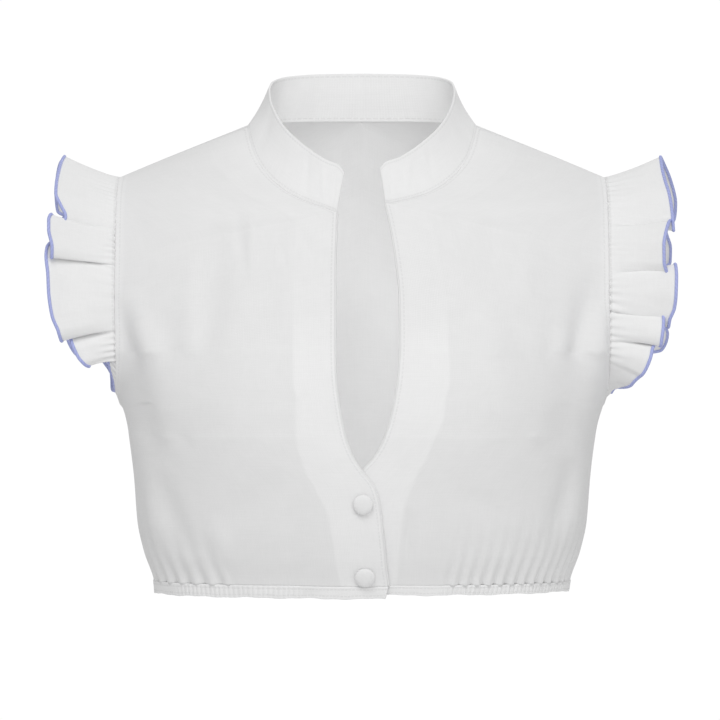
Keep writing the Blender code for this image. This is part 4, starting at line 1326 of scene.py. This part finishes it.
def read_frill(fronts, backs, gathers):
    """A frill: its seam, its free edge and how the columns of cloth are shared out along both."""
    seam, _, length = armhole(fronts, backs, FRILL_START_ROW, SEAM_POINTS)
    rows = FRILL_EDGE_LEFT if fronts.side > 0 else FRILL_EDGE_RIGHT
    share = np.linspace(0, 1, EDGE_POINTS)
    x, z, depth = (read(rows, name, share) for name in ("x", "z", "depth"))
    away = (depth - CAMERA[1]) / -CAMERA[1] * VIEW_STEP
    across = CAMERA[0] + (x - VIEW_MIDDLE) * away
    up = CAMERA[2] - (z - VIEW_MIDDLE) * away
    edge = np.stack([across * fronts.side, depth, up], axis=1)
    run = np.concatenate([[0], np.cumsum(np.linalg.norm(np.diff(edge, axis=0), axis=1))])
    even = FRILL_EDGE_PULL * run / run[-1] + (1 - FRILL_EDGE_PULL) * share
    return Frill(fronts, seam, length, edge, np.interp(share, even, share), gathers)


def follow(line, at):
    """Points of a line at shares of its count of points."""
    knots = np.linspace(0, 1, len(line))
    return np.stack([np.interp(at, knots, line[:, k]) for k in range(3)], axis=1)


def frill_point(frill, u, s):
    """The frill: u runs along the cloth and s from the seam to the free edge."""
    side = frill.panel.side
    t = np.interp(u, np.linspace(0, 1, len(frill.share)), frill.share)
    root = follow(frill.seam, t)
    rim = follow(frill.edge, t)
    root[:, 0] += FRILL_SEAM_OFFSET
    radial = root - ARMHOLE_CENTRE
    radial[:, 0] = 0
    radial = unit(radial)
    width = np.linalg.norm(rim - root, axis=1)
    points = root + (rim - root) * s[:, None]
    # the cloth stands out from the seam before it falls into its waves
    points[:, 0] += 2.2 * np.sin(np.pi * s) * ease(width / 30)
    small = np.sin(71 * u + side) + 0.6 * np.sin(113 * u + 2.0 * side)
    beat = frill.gathers * t + 0.9 * np.sin(19 * t + side) + 0.5 * np.sin(43 * t)
    depth = 0.45 + 0.35 * np.sin(29 * t + 2 * side) + 0.2 * np.sin(61 * t)
    long = 0.5 + 0.5 * np.sin(37 * t + 1.7 * side)
    fade = np.exp(-s * width / (5.0 + 9.0 * long))
    height = 1.15 * depth * np.cos(2 * np.pi * beat) * fade + 0.7 * small * s * (1 - 0.4 * s)
    height *= ease(np.minimum(t, 1 - t) * 12)
    return points + radial * height[:, None]


class BLOUSE_OT_frills(bpy.types.Operator):
    """Make the two gathered frills"""

    bl_idname = "blouse.frills"
    bl_label = "Frills"

    def execute(self, context):
        sizes = context.scene.blouse_sizes
        for side, fronts, backs in SIDES:
            frill = read_frill(fronts, backs, sizes.frill_gathers)
            sheet = grid(detail(900), detail(28))
            dress(
                sheet,
                lambda u, v: place(fronts, frill_point(frill, u, v**0.9)),
                lambda u, v: (u * FRILL_CUT, v * FRILL_WIDTH),
                None,
                lambda u, v: (v * FRILL_WIDTH + 1.5, u * frill.length),
            )
            piece = finish_piece(
                f"blouse_frill_{side}",
                sheet,
                finish("White cotton voile frill"),
                f"ruffle_{side}",
                sizes.cloth,
                even=False,
            )
        return {"FINISHED"}


class BLOUSE_OT_frill_edges(bpy.types.Operator):
    """Make the periwinkle rolled edges of the frills"""

    bl_idname = "blouse.frill_edges"
    bl_label = "Frill edges"

    def execute(self, context):
        sizes = context.scene.blouse_sizes
        radius = sizes.edging / MM
        for side, fronts, backs in SIDES:
            frill = read_frill(fronts, backs, sizes.frill_gathers)
            columns = detail(900)
            step = 1 / columns

            def rolled(u, v):
                ones = np.ones_like(u)
                rim = frill_point(frill, u, ones)
                after, before = np.minimum(u + step, 1), np.maximum(u - step, 0)
                run = unit(frill_point(frill, after, ones) - frill_point(frill, before, ones))
                out = rim - frill_point(frill, u, ones * 0.96)
                out = unit(out - run * (out * run).sum(axis=1)[:, None])
                up = np.cross(run, out)
                turn = (2 * np.pi * v)[:, None]
                centre = rim + out * (radius * 0.7)
                return place(fronts, centre + radius * (np.cos(turn) * out + np.sin(turn) * up))

            sheet = grid(columns, EDGING_SIDES)
            dress(sheet, rolled, lambda u, v: (u * FRILL_CUT, v * math.tau * radius))
            bmesh.ops.remove_doubles(sheet, verts=sheet.verts, dist=JOINED)
            bmesh.ops.holes_fill(sheet, edges=sheet.edges, sides=EDGING_SIDES)
            finish_piece(
                f"blouse_frill_edge_{side}",
                sheet,
                finish("Periwinkle edging thread"),
                f"ruffle_edge_{side}",
            )
        return {"FINISHED"}


class BLOUSE_OT_bindings(bpy.types.Operator):
    """Make the narrow bindings inside the armholes"""

    bl_idname = "blouse.bindings"
    bl_label = "Armhole bindings"

    def execute(self, context):
        sizes = context.scene.blouse_sizes
        for side, fronts, backs in SIDES:
            steps = detail(160)
            outer, inner = binding_lines(side, fronts, backs, steps)

            def strip(u, v):
                step = np.round(u * steps).astype(int)
                return outer[step] * (1 - v)[:, None] + inner[step] * v[:, None]

            sheet = grid(steps, 4)
            dress(
                sheet,
                strip,
                lambda u, v: (u * BINDING_LENGTH, v * BINDING_WIDTH),
                None,
                lambda u, v: (np.minimum(v, 1 - v) * BINDING_WIDTH + 0.8, u * BINDING_LENGTH),
            )
            bmesh.ops.remove_doubles(sheet, verts=sheet.verts, dist=JOINED)
            piece = finish_piece(
                f"blouse_binding_{side}",
                sheet,
                finish("White cotton voile, doubled"),
                f"armhole_binding_{side}",
                sizes.cloth,
                even=False,
            )
        return {"FINISHED"}


def binding_lines(side, fronts, backs, steps):
    """The two long edges of a binding, in metres, laid on the inside of the panels."""
    tree = panel_tree([bpy.data.objects[f"blouse_front_{side}"], bpy.data.objects["blouse_back"]])
    edge, out, _ = armhole(fronts, backs, UNDERARM_ROW, steps + 1)
    run = unit(np.roll(edge, -1, axis=0) - np.roll(edge, 1, axis=0))
    run[[0, -1]] = unit((edge[1] - edge[-2])[None])
    out[[0, -1]] = unit((out[0] + out[-1])[None])
    inward = unit(np.cross(out, run))
    away = edge - ARMHOLE_CENTRE
    inward *= np.sign((inward * away).sum(axis=1))[:, None]
    outer = place(fronts, edge + inward * 0.4 - out * BINDING_STEP_IN * 0.6)
    inner = []
    for point, normal in zip(place(fronts, edge + inward * BINDING_WIDTH), place(fronts, out)):
        found, face_normal, _, _ = tree.find_nearest(Vector(point))
        face_normal = face_normal if face_normal.dot(Vector(normal)) > 0 else -face_normal
        inner.append(found - face_normal * BINDING_STEP_IN * MM)
    inner = np.array(inner)
    for line in (inner, outer):
        line[[0, -1]] = (line[0] + line[-1]) / 2
    return outer, inner


def panel_tree(items):
    """A search tree over the middle surfaces of some panels."""
    points = []
    faces = []
    for item in items:
        first = len(points)
        points += [vert.co.copy() for vert in item.data.vertices]
        faces += [[first + k for k in face.vertices] for face in item.data.polygons]
    return BVHTree.FromPolygons(points, faces)


class BLOUSE_OT_buttons(bpy.types.Operator):
    """Make the two cloth-covered buttons"""

    bl_idname = "blouse.buttons"
    bl_label = "Buttons"

    def execute(self, context):
        sizes = context.scene.blouse_sizes
        for name, x, z in BUTTONS:
            low = FRONT_SECTIONS["row"] <= UNDERARM_ROW
            row = np.interp([z], FRONT_SECTIONS["z"][low], FRONT_SECTIONS["row"][low])
            edge_x = read(RIGHT_EDGE, "x", np.array([z]))
            part = (-x - edge_x) / row_length(FRONT_RIGHT, row)
            spot = panel_point(FRONT_RIGHT, part, row)
            out = facing_out(FRONT_RIGHT, panel_point, part, row)
            seat = Vector(place(FRONT_RIGHT, spot + out * BUTTON_SEAT)[0])
            axis = Vector(place(FRONT_RIGHT, out)[0]).normalized()
            knob = bmesh.new()
            line = [
                knob.verts.new((r * sizes.button, 0, h * sizes.button_height))
                for r, h in BUTTON_PROFILE
            ]
            edges = [knob.edges.new(pair) for pair in zip(line, line[1:])]
            bmesh.ops.spin(
                knob,
                geom=line + edges,
                axis=(0, 0, 1),
                cent=(0, 0, 0),
                angle=math.tau,
                steps=BUTTON_STEPS,
                use_merge=True,
            )
            bmesh.ops.remove_doubles(knob, verts=knob.verts, dist=JOINED)
            cloth_map = knob.loops.layers.uv.new("Cloth")
            knob.loops.layers.uv.new("Seam")
            for face in knob.faces:
                for loop in face.loops:
                    loop[cloth_map].uv = loop.vert.co.xy
            turned = Matrix.Translation(seat) @ axis.to_track_quat("Z", "Y").to_matrix().to_4x4()
            bmesh.ops.transform(knob, matrix=turned, verts=knob.verts)
            finish_piece(
                f"blouse_{name}",
                knob,
                finish("Covered button cotton"),
                name,
            )
        return {"FINISHED"}


class BLOUSE_OT_stage(bpy.types.Operator):
    """Make the floor, the studio light and the camera"""

    bl_idname = "blouse.stage"
    bl_label = "Studio"

    def execute(self, context):
        scene = context.scene
        sheet = bmesh.new()
        bmesh.ops.create_grid(sheet, x_segments=8, y_segments=8, size=1.5)
        bmesh.ops.translate(sheet, verts=sheet.verts, vec=(0, 0, FLOOR_Z))
        mesh = bpy.data.meshes.new("studio_floor")
        sheet.to_mesh(mesh)
        sheet.free()
        mesh.materials.append(paper("Studio paper", tuple(scene.blouse_colours.floor)))
        floor = bpy.data.objects.new("studio_floor", mesh)
        scene.collection.objects.link(floor)

        for name, at, size, power in LAMPS:
            lamp = bpy.data.lights.new(name, "AREA")
            lamp.shape = "DISK"
            lamp.size = size
            lamp.energy = power
            light = bpy.data.objects.new(name, lamp)
            light.location = at
            towards = Vector(LAMPS_AIM) - Vector(at)
            light.rotation_mode = "QUATERNION"
            light.rotation_quaternion = towards.to_track_quat("-Z", "Y")
            scene.collection.objects.link(light)

        # a soft lamp inside lights the inner back as evenly as the outside
        glow = bpy.data.lights.new("inside", "AREA")
        glow.shape = "RECTANGLE"
        glow.size = 0.16
        glow.size_y = 0.22
        glow.energy = 0.13
        lantern = bpy.data.objects.new("inside", glow)
        lantern.location = (0, -0.06, -0.19)
        lantern.rotation_euler = (math.radians(90), 0, 0)
        lantern.visible_camera = False
        scene.collection.objects.link(lantern)

        world = bpy.data.worlds.new("studio")
        world.use_nodes = True
        tree = world.node_tree
        around = tree.nodes["Background"]
        around.inputs["Color"].default_value = (1, 1, 1, 1)
        around.inputs["Strength"].default_value = 0.5
        white = {"Color": (1, 1, 1, 1), "Strength": 1.02}
        seen = add_node(tree, "ShaderNodeBackground", white)
        path = add_node(tree, "ShaderNodeLightPath")
        mixed = {0: path.outputs["Is Camera Ray"], 1: around.outputs[0], 2: seen.outputs[0]}
        both = add_node(tree, "ShaderNodeMixShader", links=mixed)
        tree.links.new(both.outputs[0], tree.nodes["World Output"].inputs["Surface"])
        scene.world = world
        scene.view_settings.view_transform = "Standard"
        scene.view_settings.look = "None"

        view = bpy.data.cameras.new("camera")
        view.lens = 225.0
        view.sensor_width = 36.0
        camera = bpy.data.objects.new("camera", view)
        camera.location = Vector(CAMERA) * MM
        camera.rotation_euler = (math.radians(90), 0, 0)
        scene.collection.objects.link(camera)
        scene.camera = camera
        return {"FINISHED"}


STEPS = (
    BLOUSE_OT_stage,
    BLOUSE_OT_back,
    BLOUSE_OT_fronts,
    BLOUSE_OT_facings,
    BLOUSE_OT_collar,
    BLOUSE_OT_hem,
    BLOUSE_OT_frills,
    BLOUSE_OT_frill_edges,
    BLOUSE_OT_bindings,
    BLOUSE_OT_buttons,
)


class BLOUSE_PT_pieces(bpy.types.Panel):
    """Sizes, colours and the steps that make the blouse"""

    bl_label = "Dirndl blouse"
    bl_space_type = "VIEW_3D"
    bl_region_type = "UI"
    bl_category = "Blouse"

    def draw(self, context):
        for group in (context.scene.blouse_sizes, context.scene.blouse_colours):
            for name in group.__annotations__:
                self.layout.prop(group, name)
        for step in STEPS:
            self.layout.operator(step.bl_idname)


CLASSES = (BlouseSizes, BlouseColours, *STEPS, BLOUSE_PT_pieces)


def register():
    for item in CLASSES:
        bpy.utils.register_class(item)
    bpy.types.Scene.blouse_sizes = PointerProperty(type=BlouseSizes)
    bpy.types.Scene.blouse_colours = PointerProperty(type=BlouseColours)


def unregister():
    del bpy.types.Scene.blouse_colours
    del bpy.types.Scene.blouse_sizes
    for item in reversed(CLASSES):
        bpy.utils.unregister_class(item)


def main():
    register()
    for step in STEPS:
        group, name = step.bl_idname.split(".")
        getattr(getattr(bpy.ops, group), name)()


if __name__ == "__main__":
    main()
